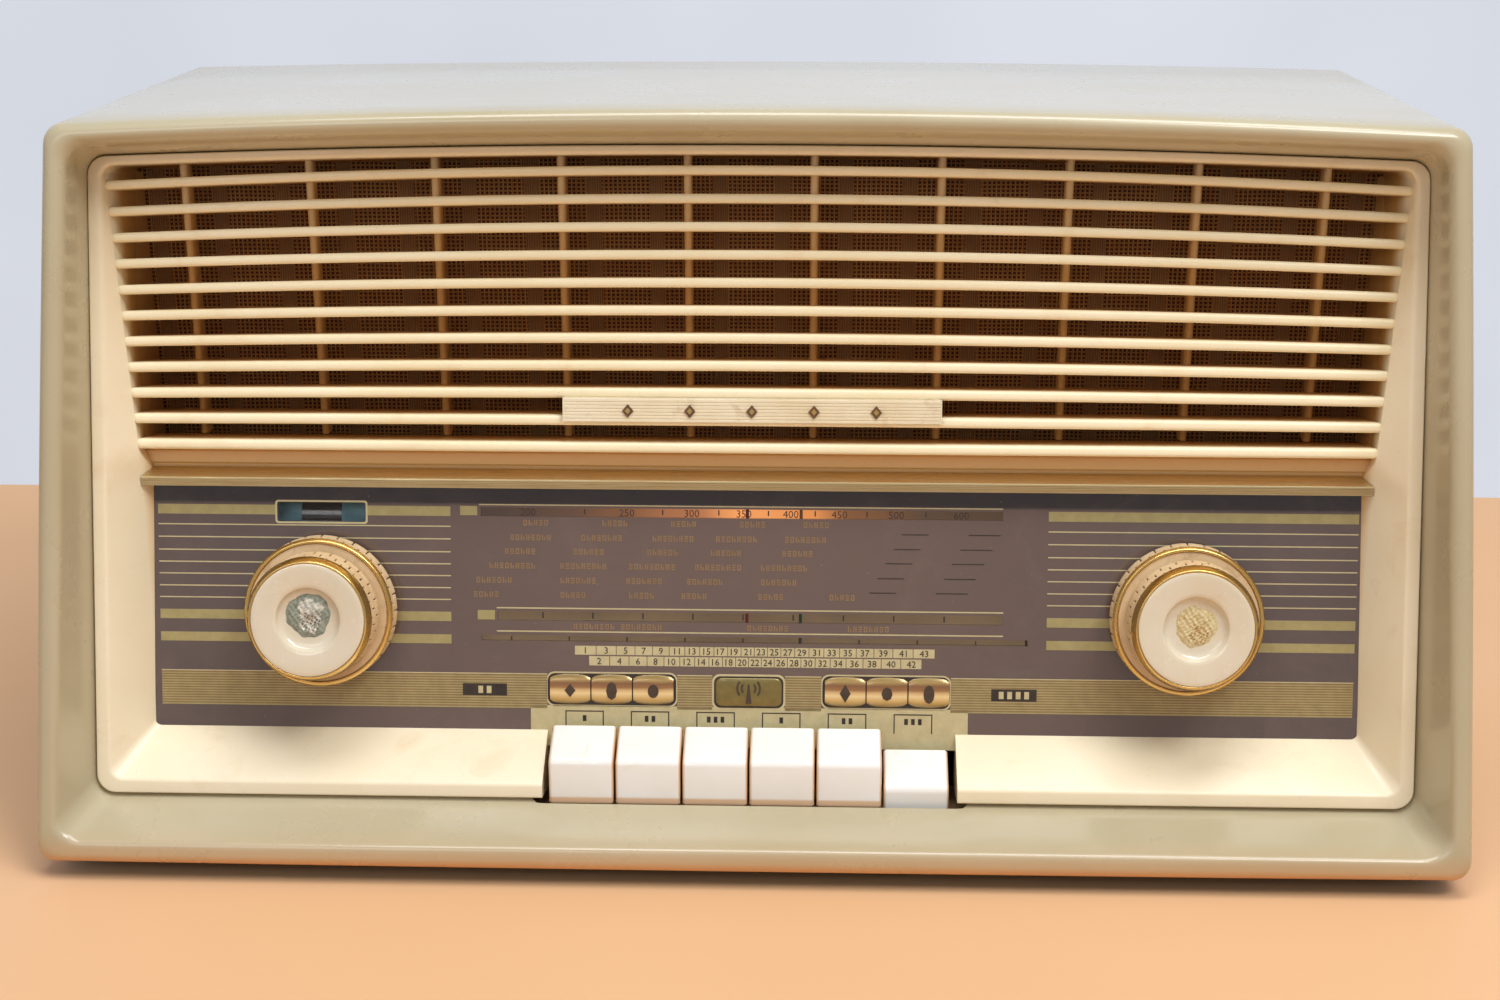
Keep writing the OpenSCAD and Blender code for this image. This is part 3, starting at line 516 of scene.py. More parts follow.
def pane_material():
    """Back-printed dial glass: warm black-brown print under a glossy front, with dust and small scratches, a painted
    lighter middle and a painted shadow of the gilt strip along its top.
    """
    k = Mat("dial_glass", 0.12, coat=1.0, coat_rough=0.02)
    x, y, z = k.split()
    col = k.tones(k.noise(9, 3), 0.3, 0.7, (98, 83, 78), (90, 75, 70))
    # painted light: the middle of the pane is lighter
    lit = k.grey(k.math("ABSOLUTE", x), [(0.06, 0.55), (0.19, 0.0)])
    col = k.mix(lit, col, (112, 90, 78))
    # painted shadow of the gilt strip along the top of the pane
    top = k.step(k.mul(z, 1000.0 / 150), 0.829, 0.835)
    col = k.mix(top, col, (46, 32, 24))
    dust = k.step(k.noise(900, 3, 0.7), 0.69, 0.77, 0.55)
    col = k.mix(dust, col, (172, 160, 146))
    haze = k.step(k.noise(35, 6, 0.7, distortion=1.0), 0.5, 0.8, 0.10)
    k.color(k.mix(haze, col, (160, 144, 130)))
    k.rough(k.noise(70, 5, 0.65), 0.3, 0.75, 0.10, 0.26)
    k.bump(k.noise(60, 2), 0.02, 0.0003)
    return k.m


def gold_print(name, a, b, rough=0.42):
    """Gold ink on the pane."""
    k = Mat(name, rough, metallic=0.35, coat=0.6, coat_rough=0.05)
    k.color(k.tones(k.noise(240, 5, 0.6), 0.3, 0.7, a, b))
    k.bump(k.noise(900, 2), 0.05, 0.0001)
    return k.m


M = {
    "cabinet": cabinet_material(),
    # deep paints shade onto the frame and grille: yellower and darker behind the louvres' front edges
    "frame": plastic("cream_moulding", (238, 226, 198), (232, 217, 184), (208, 176, 122), rough=0.36, coat=0.15, stain_and_shade=0.3,
                     scale=14, sss=0.05, coat_rough=0.15, deep=(3, 9, (214, 166, 96))),
    "grille": plastic("grille_moulding", (246, 234, 200), (240, 226, 186), (210, 160, 90), rough=0.36, coat=0.15, stain_and_shade=0.2,
                      scale=16, sss=0.05, deep=(1.6, 14, (236, 186, 112))),
    "plate": plastic("nameplate", (232, 220, 192), (222, 206, 170), (160, 116, 60), rough=0.4, coat=0.1, scale=40),
    "cloth": cloth_material(),
    "pane": pane_material(),
    "gold": gold_print("gold_print", (178, 166, 114), (162, 150, 102)),
    "pale_gold": gold_print("pale_gold_print", (212, 200, 156), (196, 184, 140)),
    "faint": gold_print("faint_print", (150, 122, 84), (136, 108, 72), rough=0.6),
    "ink": plain("dial_ink", (42, 34, 30), (56, 46, 40), rough=0.5, scale=300),
    "teal": plain("eye_phosphor", (138, 196, 208), (112, 168, 182), rough=0.5, scale=120),
    "strip": metal("brass_trim", (222, 202, 156), (190, 168, 122), rough=0.4),
    "gilt": metal("gilt_bezel", (244, 212, 140), (230, 188, 108), rough=0.24, brushed=False, scale=40, bump=0.01),
    "knob": plastic("knob_plastic", (220, 210, 188), (214, 200, 172), (206, 160, 104), rough=0.22, coat=0.6, stain_and_shade=0.16,
                    scale=30, sss=0.1, coat_rough=0.04),
    "ring": plastic("ring_knob_plastic", (222, 192, 150), (206, 176, 132), (140, 104, 66), rough=0.4, coat=0.2, stain_and_shade=0.4,
                    scale=70),
    "key": key_material(),
}
# the CAD nodes bring materials of the same names, so these names get a number that is taken off here
CAD_MATS = {m.name.split(".")[0]: m for m in (
    plain("painted_plate", (206, 198, 168), (190, 180, 148), rough=0.6),
    metal("plated_steel", (170, 168, 160), (140, 138, 132), rough=0.4, brushed=False),
    plain("drive_cord", (206, 192, 150), (170, 152, 110), rough=0.85, scale=900, bump=0.6),
    metal("aluminium", (200, 200, 198), (176, 176, 174), rough=0.38),
    plain("pulley_plastic", (222, 212, 182), (206, 194, 160), rough=0.4),
    plain("lamp_glass", (240, 216, 160), (220, 190, 126), rough=0.2, coat=0.8),
    plain("valve_glass", (120, 126, 126), (84, 90, 92), rough=0.12, coat=1.0),
    plain("baffle_wood", (120, 88, 58), (92, 66, 42), rough=0.75, scale=50, bump=0.5),
    plain("pressed_steel", (96, 96, 98), (76, 76, 80), rough=0.5, metallic=0.4, bump=0.4),
    plain("cone_paper", (44, 40, 38), (30, 28, 26), rough=0.9, scale=200, bump=0.6),
    plain("magnet_steel", (124, 126, 130), (100, 102, 106), rough=0.5, metallic=0.3),
    metal("spring_steel", (150, 148, 144), (120, 118, 114), rough=0.35),
    plain("pertinax", (112, 76, 42), (88, 58, 32), rough=0.45, scale=160, bump=0.25),
    plain("transformer_iron", (66, 60, 56), (48, 44, 42), rough=0.55, bump=0.4),
    plain("ferrite", (52, 50, 50), (36, 34, 34), rough=0.5, bump=0.3),
    plain("hardboard", (104, 74, 46), (80, 54, 34), rough=0.78, scale=240, bump=0.7, dist=0.0004),
    plain("rubber", (34, 33, 32), (24, 24, 24), rough=0.75, bump=0.3),
    metal("shaft_steel", (176, 174, 168), (150, 148, 142), rough=0.3, brushed=False),
    metal("shaft_brass", (196, 170, 104), (168, 140, 80), rough=0.32, brushed=False),
)}


def paint(node, mat):
    """Gives a CAD node that stays in view its material."""
    frame["nodes"][node].data.materials.clear()
    frame["nodes"][node].data.materials.append(mat)


for part in frame["record"]["subparts"]:
    if part["material_slot"] in CAD_MATS:
        paint(part["node"], CAD_MATS[part["material_slot"]])


# ---------------------------------------------------------------- cabinet
CAD_BACK = 1000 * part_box("cabinet")[1].y + ORIGIN_Y
REVEAL = (256.6, 242.85, 2, 260.6, 6, 10)       # its outline in the rim plane, as panel() takes it
REVEAL_END = (245.06, 242.56, -0.06, 236.36, 5, 7)       # and where it meets the cream frame
LIP_BACK = 24.3     # depth of the lip behind the rim plane
KEY_GAP = 77.3      # half the gap for the keys


def cabinet_piece():
    """The shell: each ring is a section from the back edge over the rim, the reveal and back inside."""
    runs = (84, 8, 30, 8, 30)
    back1, back_rise = CORNER_H - (CAB_D - TOP_Y) * DRAFT, TOP_RISE / 2

    def shell(half_of, y_of, inset, z1, rise, r):
        pts = panel(half_of(FOOT) - inset, half_of(CORNER_H) - inset, FOOT + inset, z1 - inset - 0.15, rise, r, runs=runs)
        return [Vector((p.x, y_of(p.y), p.y)) for p in pts]

    def front_half(z):
        return half_at(0, z) if z < 100 else half_at(TOP_Y, z)

    def back_half(z):
        return half_at(CAB_D, z)

    outer_front = shell(front_half, front_y, 0, CORNER_H, TOP_RISE, 7)
    outer_back = shell(back_half, lambda z: CAD_BACK, 1.1, back1 + 0.4, back_rise, 6)
    lip_back = shell(back_half, lambda z: CAD_BACK, 3.1, back1, back_rise, 4)
    inner_back = shell(back_half, lambda z: CAD_BACK - 1.5, WALL, back1, back_rise, 4)
    inner_front = shell(front_half, lambda z: LIP_BACK + 0.1 + front_y(z), WALL, CORNER_H, TOP_RISE, 4)
    a = [rim(p.x, p.y, 8) for p in panel(*REVEAL, runs=runs)]
    c = [dial(p.x, p.y, -4) for p in panel(*REVEAL_END, runs=runs)]
    seat = [dial(p.x, p.y, -7) for p in panel(*REVEAL_END, runs=runs)]
    normal = Vector((0, -math.cos(RIM), math.sin(RIM)))
    rings = []
    for i in range(len(a)):
        reveal = lerp(a[i], c[i], 8 / (8 - (c[i] - rim(0, 0, 0)).dot(normal)))
        edge, under = c[i], seat[i]
        if abs(edge.x) < 80 and edge.z < 60:
            # open and a little lower beneath the keys, so that they can swing down
            f0, f1 = reveal.y - front_y(reveal.z), edge.y - front_y(edge.z)
            edge = lerp(reveal, edge, (LIP_BACK - f0) / (f1 - f0))
            edge.z -= 0.25 * (1 - smooth_step(76.5, 79.5, abs(edge.x)))
            under = Vector((edge.x, edge.y + 0.05, edge.z - 2))
        corners = [outer_back[i], outer_front[i], reveal, edge, under, inner_front[i], inner_back[i], lip_back[i]]
        ring = fillet(corners, [1.6, 7, 5.0, 0.4, 0, 3, 0, 0], steps=6)
        # the lip's foremost line is worn a little flat
        rings.append([Vector((q.x * 0.9999, q.y if q.y > 2.4 else 1.25 + (q.y - 0.2) * 0.52, q.z)) for q in ring])
    b = Build()
    b.loft(rings, path_closed=True)
    ob = b.object("cabinet_shell", M["cabinet"], node="cabinet", slot="cabinet", smooth=50)
    vents = Build()
    for y in (84, 168):
        for i in range(-4, 5):
            vents.box(i * 34 - 12, i * 34 + 12, y, y + 3.6, FOOT - 4, FOOT + WALL + 3, lambda x, v, w: Vector((x, v, w)))
    cut_away(ob, vents)


cabinet_piece()

# ---------------------------------------------------------------- front frame
GRILLE_V0, GRILLE_V1 = 127.0, 233.0
TOP_SLAT_V = 225.9
ROOM_BACK_HALF, ROOM_Z0, ROOM_Z1 = 229.7, 139, 245.2       # the recess where it meets the cloth
FRAME_LIP = (245, 242.5, 0, 236.3, 5, 7)
DIAL_V0, DIAL_HALF = 21.9, 228


def mouth_half(v):
    """Half the width of the louvres' opening, which narrows downwards."""
    return 229.4 + 7.6 * (1 - (TOP_SLAT_V - v) / 95.3)


def mouth_w(v):
    """Depth of the louvres' front edges, which lie deeper downwards."""
    return -4 - 0.0682 * (TOP_SLAT_V - v)


def room_wall(x_half, v, side):
    """A line of the side wall of the grille's recess: its ends at the mouth and at the cloth."""
    m = dial(side * x_half, v, mouth_w(v))
    back = Vector((side * ROOM_BACK_HALF, BAFFLE_Y, ROOM_Z0 + (v - GRILLE_V0) / (GRILLE_V1 - GRILLE_V0) * (ROOM_Z1 - ROOM_Z0)))
    return m, back


def to_depth(m, back, at_w):
    """Point of the line from m to back that lies at depth at_w of the dial plane."""
    def w_of(p):
        return -(p.y - LIP_Y) * CL + (p.z - LIP_Z) * SL
    t = (at_w - w_of(m)) / (w_of(back) - w_of(m))
    return m + (back - m) * t


def front_frame_piece():
    """The cream frame, open at the keys: each ring is a section over its lip and back behind the dial or louvres."""
    b = Build()
    runs = (22, 8, 80, 8, 40)
    lip = panel(*FRAME_LIP, start=KEY_GAP, runs=runs)
    inner = panel(240, 237.5, 5, 233, 5, 5, start=KEY_GAP, runs=runs)
    crease = panel(DIAL_HALF, 237, DIAL_V0, GRILLE_V1, 5, 2.6, start=KEY_GAP, r_top=3, runs=runs)
    side_starts = runs[0] + runs[1]
    side_ends = side_starts + runs[2] + 1
    rings = []
    for i in range(len(lip)):
        x, v = crease[i]
        side = 1 if x > 0 else -1
        k = min(i, len(lip) - 1 - i)
        dial_half = DIAL_HALF - (v - DIAL_V0) / 108.1 * 1.8
        # nothing beside the dial, all beside the louvres
        g = smooth_step(118.5, 128.5, v)
        if side_starts - 1 <= k <= side_ends:
            x = side * lerp(dial_half, mouth_half(v), g)
        m = dial(x, v, lerp(-19.0, mouth_w(v), g))
        if k > side_ends:
            f = x / 237.0
            back = Vector((f * ROOM_BACK_HALF, BAFFLE_Y, ROOM_Z1 + 5 * (1 - f * f)))
            p4, p5 = to_depth(m, back, -21.0), to_depth(m, back, -22.0)
        elif g > 0:
            back = room_wall(abs(x), max(v, GRILLE_V0), side)[1]
            q4, q5 = to_depth(m, back, -21.0), to_depth(m, back, -22.0)
            q4.z, q5.z = dial(0, v, -21.0).z, dial(0, v, -22.0).z
            p4 = lerp(dial(side * (dial_half - 0.05), v, -19.3), q4, g)
            p5 = lerp(dial(side * (dial_half - 0.1), v, -22), q5, g)
        else:
            x5 = side * min(abs(x), DIAL_HALF - 0.2)
            p4, p5 = dial(x5, v, -19.3), dial(x5, v, -22)
        corners = [dial(*lip[i], -22), dial(*lip[i], 0), dial(*inner[i], 0), m, p4, p5]
        rings.append(fillet(corners, [0, 0.7, 2.2, 0.8, 0, 0], steps=5))
    b.loft(rings, cap0=True, cap1=True)
    # bar between the dial and the louvres
    prof = fillet([(113.9, -22), (128.2, -22), (128.2, -18.6), (123.3, -18.6), (122.6, -19.6), (113.9, -19.6)],
                  [0, 0, 1.2, 0.5, 0, 0], steps=4)
    b.loft([[dial(x, p.x, p.y) for p in prof] for x in (-229, -120, 0, 120, 229)], cap0=True, cap1=True)
    b.object("front_frame_moulding", M["frame"], node="front_frame", slot="cream_moulding", smooth=50)


front_frame_piece()


# ---------------------------------------------------------------- louvre grille
def louvre_piece():
    """Eleven slats, ten upright ribs behind them, and the walls of the recess."""
    b = Build()
    slats, pitch, bow = 11, 9.53, 6.6
    for i in range(slats):
        part = i / (slats - 1)
        v = TOP_SLAT_V - i * pitch
        w1 = mouth_w(v) + 0.5
        w0 = min(-23.5, -15 - 22 * part)
        half = mouth_half(v) + 0.8
        thick = 3.4 + 0.5 * part
        xs = [-half, -half + 0.25, -half + 0.8, -half + 1.6, -half + 2.6, -half + 4]
        xs += [lerp(-half + 4, half - 4, j / 40) for j in range(1, 40)] + [-x for x in reversed(xs)]
        rings = []
        for x in xs:
            rise = bow * (1 - part) * (1 - (x / half) ** 2)
            near = half - abs(x)
            cut = 1.6 - math.sqrt(max(0, 1.6 ** 2 - (1.6 - min(1.6, near)) ** 2))
            front = w1 - cut * 0.85
            squeeze = 1 - 0.25 * max(0, 1 - near / 1.2)
            top, low = v + rise + thick / 2 * squeeze, v + rise - thick / 2 * squeeze
            back_x = math.copysign(min(abs(x), 229.4), x)
            nose = ((0, 1.7), (0.18, 0.75), (0.62, 0.2), (1.15, 0))
            sec = [(back_x, top, w0)] + [(x, top - dv, front - dw) for dv, dw in nose]
            sec += [(x, low + dv, front - dw) for dv, dw in reversed(nose)] + [(back_x, low, w0)]
            rings.append([dial(*p) for p in sec])
        b.loft(rings, cap0=True, cap1=True)
    for i in range(10):
        x = 419.4 * (i / 9 - 0.5) - 0.9
        top = 249.5 + 5 * (1 - (x / 237) ** 2)
        sec = [(-1.65, 94), (-1.45, 89.2), (-1.0, 88.3), (-0.4, 88), (0.4, 88), (1.0, 88.3), (1.45, 89.2), (1.65, 94)]
        rings = [[Vector((x + sx, sy, z)) for sx, sy in sec] for z in (146, 180, 215, top)]
        b.loft(rings, cap0=True, cap1=True)
    # cheeks: the side walls of the recess behind the front frame
    for side in (-1, 1):
        rings = []
        for j in range(13):
            v = lerp(128, 232, j / 12)
            m, back = room_wall(mouth_half(v), v, side)
            p, q = to_depth(m, back, -22.3), Vector((back.x, 101.3, back.z))
            out = side * 236
            rings.append([p, q, Vector((out, q.y, q.z)), Vector((out, p.y, p.z))])
        b.loft(rings, cap0=True, cap1=True)
    b.box(-236, 236, 122.2, 127.6, -23.4, -22.3, dial)
    # ceiling of the recess
    rings = []
    for j in range(41):
        f = 2 * j / 40 - 1
        rise = 5 * (1 - f * f)
        m, back = dial(f * 236.5, 233 + rise, mouth_w(233)), Vector((f * 232, BAFFLE_Y, ROOM_Z1 + rise))
        p, q = to_depth(m, back, -22.3), Vector((back.x, 101.3, back.z))
        rings.append([p, q, q + Vector((0, 0, 2.5)), p + Vector((0, 0, 2.0))])
    b.loft(rings, cap0=True, cap1=True)
    b.object("louvre_grille_moulding", M["grille"], node="louvre_grille", slot="grille_moulding", smooth=40)


louvre_piece()


def nameplate_piece():
    """Ribbed plate on the lower slats, with five plain diamonds."""
    b = Build()
    sec = [(140.2, -9.2), (140.2, -7.75)]
    v = 140.5
    for i in range(7):
        sec += [(v, -7.42), (v + 0.78, -7.42), (v + 0.98, -7.66), (v + 1.06, -7.66)]
        v += 1.24
    sec += [(149.4, -7.75), (149.4, -9.2)]
    b.loft([[dial(x, p, w) for p, w in sec] for x in (-69.9, -30, 0, 30, 69.9)], cap0=True, cap1=True)
    for x in (-69.9, 69.3):
        b.box(x, x + 0.6, 140.2, 149.4, -9.2, -7.3, dial)
    for i in range(-2, 3):
        x = i * 22.9
        for r, w in ((2.5, -6.95), (1.2, -6.7)):
            pip = [(x + 0.85 * r * math.cos(a), 144.5 + r * math.sin(a)) for a in around(4)]
            b.prism(pip, dial, -7.6, w, mat=1 if r > 2 else 2)
    b.object("ribbed_nameplate", [M["plate"], M["pip"], M["gilt"]], node="nameplate", slot="nameplate", smooth=30)


M["pip"] = plain("pip_brown", (112, 78, 44), (92, 62, 34), rough=0.5, scale=300)
nameplate_piece()


# ---------------------------------------------------------------- trim strip
def strip_piece():
    """Gilt strip over the dial, with five fine steps along its nose."""
    b = Build()
    prof = [(114.8, -18.9), (121.5, -18.9), (118.7, -14.2), (118.1, -13.15)]
    for i in range(5):
        v, w = 117.7 - i * 0.62, -13.05 - i * 0.06
        prof += [(v, w + 0.02), (v - 0.38, w), (v - 0.42, w - 0.28), (v - 0.56, w - 0.28)]
    # its ends splay outwards to the front
    b.loft([[dial((j / 10 - 1) * (225.8 + (w + 18.9) / 5.9 * 3.8), v, w) for v, w in prof] for j in range(21)],
           cap0=True, cap1=True)
    b.object("trim_strip_bar", M["strip"], node="trim_strip", slot="brass_trim", smooth=30)


strip_piece()


# ---------------------------------------------------------------- cloth
def cloth_piece():
    """Cloth stretched on the baffle board: it sinks a little over the loudspeakers' openings."""
    b = Build()
    nx, nz = 118, 28
    rows = []
    for j in range(nz + 1):
        z = lerp(141, 252.5, j / nz)
        row = []
        for i in range(nx + 1):
            x = lerp(-236, 236, i / nx)
            over = (abs(x + 62) < 90 or abs(x - 130) < 30) and abs(z - 197) < 46
            sag = 0.16 * over + 0.05 * math.sin(x * 0.7) * math.sin(z * 0.9)
            row.append(Vector((x, BAFFLE_Y - 0.45 + sag * 0.5, z)))
        rows.append(row)
    b.loft(rows, ring_closed=False)
    ob = b.object("loudspeaker_cloth", M["cloth"], node="grille_cloth", slot="grille_cloth", smooth=60)


cloth_piece()


# ---------------------------------------------------------------- dial glass and its print
PRINT_W, PANE_BACK = -19.3, -21.8      # depths of the pane's two faces
SHAFT_HOLE = 8      # radius of the pane's holes for the shafts
WINDOWS = [(-103.2, 93.8, 80.0, 83.4), (-97.0, 94.3, 40.3, 44.0), (-103.2, 104.0, 32.5, 34.8)]
EYE_WINDOW = (-180.5, -147.2, 77.4, 84.7)


def pv(v):
    """Height of a printed mark above the bottom of the dial's opening, moved to the front of the pane."""
    return v + 23.5


def px(x):
    """The same for its distance from the middle."""
    return (x + 0.4) * 0.9965


def pane_piece():
    """The pane, cut open where its windows and the knobs' shafts are."""
    b = Build()
    b.box(-232, 232, 15.6, 118, PANE_BACK, PRINT_W, dial)
    ob = b.object("dial_pane", M["pane"], node="dial_glass", slot="dial_glass", smooth=0)
    cut = Build()
    for x0, x1, v0, v1 in WINDOWS + [EYE_WINDOW]:
        cut.box(px(x0), px(x1), pv(v0), pv(v1), -24, -17, dial)
    for side in (-1, 1):
        cut.prism([(side * KNOB_X + SHAFT_HOLE * math.cos(a), KNOB_V + SHAFT_HOLE * math.sin(a)) for a in around(48)], dial, -24, -17)
    cut_away(ob, cut)


def clear_material():
    """Clear glass of the windows, faintly tinted."""
    k = Mat("clear_window", 0.05, coat=1.0, coat_rough=0.02)
    k.color(k.tones(k.noise(60, 3), 0.3, 0.7, (96, 84, 74), (84, 74, 66)))
    k.set("Alpha", 0.10)
    k.bump(k.noise(80, 2), 0.02, 0.0002)
    return k.m


def glow_material():
    """Strip behind the scales, painted to glow: warm in the middle, dim towards its ends."""
    k = Mat("scale_glow", 0.6)
    x, y, z = k.split()
    run = k.plus(k.plus(k.mul(x, 5.0), 0.5), k.mul(k.sub(k.noise(25, 3), 0.5), 0.10))
    col = k.ramp(run, [(0.02, (66, 52, 46)), (0.16, (84, 62, 48)), (0.26, (112, 74, 50)), (0.40, (160, 102, 66)),
                       (0.47, (214, 140, 82)), (0.62, (196, 124, 68)), (0.68, (112, 74, 46)), (0.82, (76, 58, 44)),
                       (0.98, (70, 54, 42))])
    k.color(col)
    k.glow(col, 1.6)
    return k.m


def low_glow_material():
    """Paler plate behind the two lower scales, painted with an even glow."""
    k = Mat("low_scale_plate", 0.6)
    col = k.tones(k.noise(28, 3), 0.35, 0.65, (150, 124, 94), (132, 108, 82))
    k.color(col)
    k.glow(col, 0.62)
    return k.m


pane_piece()
M["clear"], M["glow"], M["low_glow"] = clear_material(), glow_material(), low_glow_material()

b = Build()
for x0, x1, v0, v1 in WINDOWS + [EYE_WINDOW]:
    b.box(px(x0) + 0.02, px(x1) - 0.02, pv(v0) + 0.02, pv(v1) - 0.02, -21.6, PRINT_W - 0.06, dial)
b.object("dial_clear_windows", M["clear"], slot="dial_glass", smooth=0)

# plates behind the windows, painted to glow
for name, mat, x1, v0, v1 in (("scale_glow_strip", "glow", 96, 76.5, 85.4), ("scale_low_plate", "low_glow", 104, 27.5, 45)):
    b = Build()
    b.box(-104, x1, pv(v0), pv(v1), -32.4, -31.8, dial)
    b.object(name, M[mat], slot="painted_plate", smooth=0, bevel=0.1)


def ink_top(level):
    """Depth of the top of a mark; each level lies a little over the one before."""
    return PRINT_W + 0.05 + 0.05 * level


INK_FOOT = PRINT_W - 0.02


class Print(Build):
    """Thin marks on the front of the pane."""

    def bar(self, x0, x1, v0, v1, level=0, mat=0):
        self.box(px(x0), px(x1), pv(v0), pv(v1), INK_FOOT, ink_top(level), dial, mat)

    def shape(self, pts, level=0, mat=0):
        self.prism([(px(x), pv(v)) for x, v in pts], dial, INK_FOOT, ink_top(level), mat)

    def ring(self, outer, inner, level=0, mat=0):
        w0, w1 = INK_FOOT, ink_top(level)
        self.loft([[dial(px(x), pv(v), w) for (x, v), w in ((o, w0), (o, w1), (i, w1), (i, w0))]
                   for o, i in zip(outer, inner)], path_closed=True, mat=mat)

    def number(self, n, x, v, size, level, mat):
        pts, faces = digits(str(n))
        middle = (max(p[0] for p in pts) + min(p[0] for p in pts)) / 2
        self.add([dial(px(x + (p[0] - middle) * size), pv(v + p[1] * size), ink_top(level)) for p in pts], faces, mat)


def digits(text):
    """Outlines of a number in the built-in font, as flat points and faces of height 1."""
    cu = bpy.data.curves.new("n", "FONT")
    cu.body, cu.resolution_u = text, 2
    cu.align_x = "CENTER"
    ob = bpy.data.objects.new("n", cu)
    bpy.context.scene.collection.objects.link(ob)
    me = bpy.data.meshes.new_from_object(ob.evaluated_get(bpy.context.evaluated_depsgraph_get()))
    outline = [(v.co.x / 0.7, v.co.y / 0.7) for v in me.vertices], [tuple(p.vertices) for p in me.polygons]
    bpy.data.objects.remove(ob)
    bpy.data.curves.remove(cu)
    bpy.data.meshes.remove(me)
    return outline


def rounded(x0, x1, v0, v1, r, n=5):
    """Outline of a rectangle with corners rounded to radius r."""
    pts = []
    for cx, cv, a0 in ((x1 - r, v1 - r, 0), (x0 + r, v1 - r, 90), (x0 + r, v0 + r, 180), (x1 - r, v0 + r, 270)):
        for i in range(n + 1):
            a = math.radians(a0 + 90 * i / n)
            pts.append((cx + r * math.cos(a), cv + r * math.sin(a)))
    return pts


def outline_bars(p, x0, x1, v0, v1, t, level, mat, open_low=False):
    """A rectangle drawn with lines of width t."""
    p.bar(x0, x0 + t, v0, v1, level, mat)
    p.bar(x1 - t, x1, v0, v1, level, mat)
    p.bar(x0 + t, x1 - t, v1 - t, v1, level, mat)
    if not open_low:
        p.bar(x0 + t, x1 - t, v0, v0 + t, level, mat)


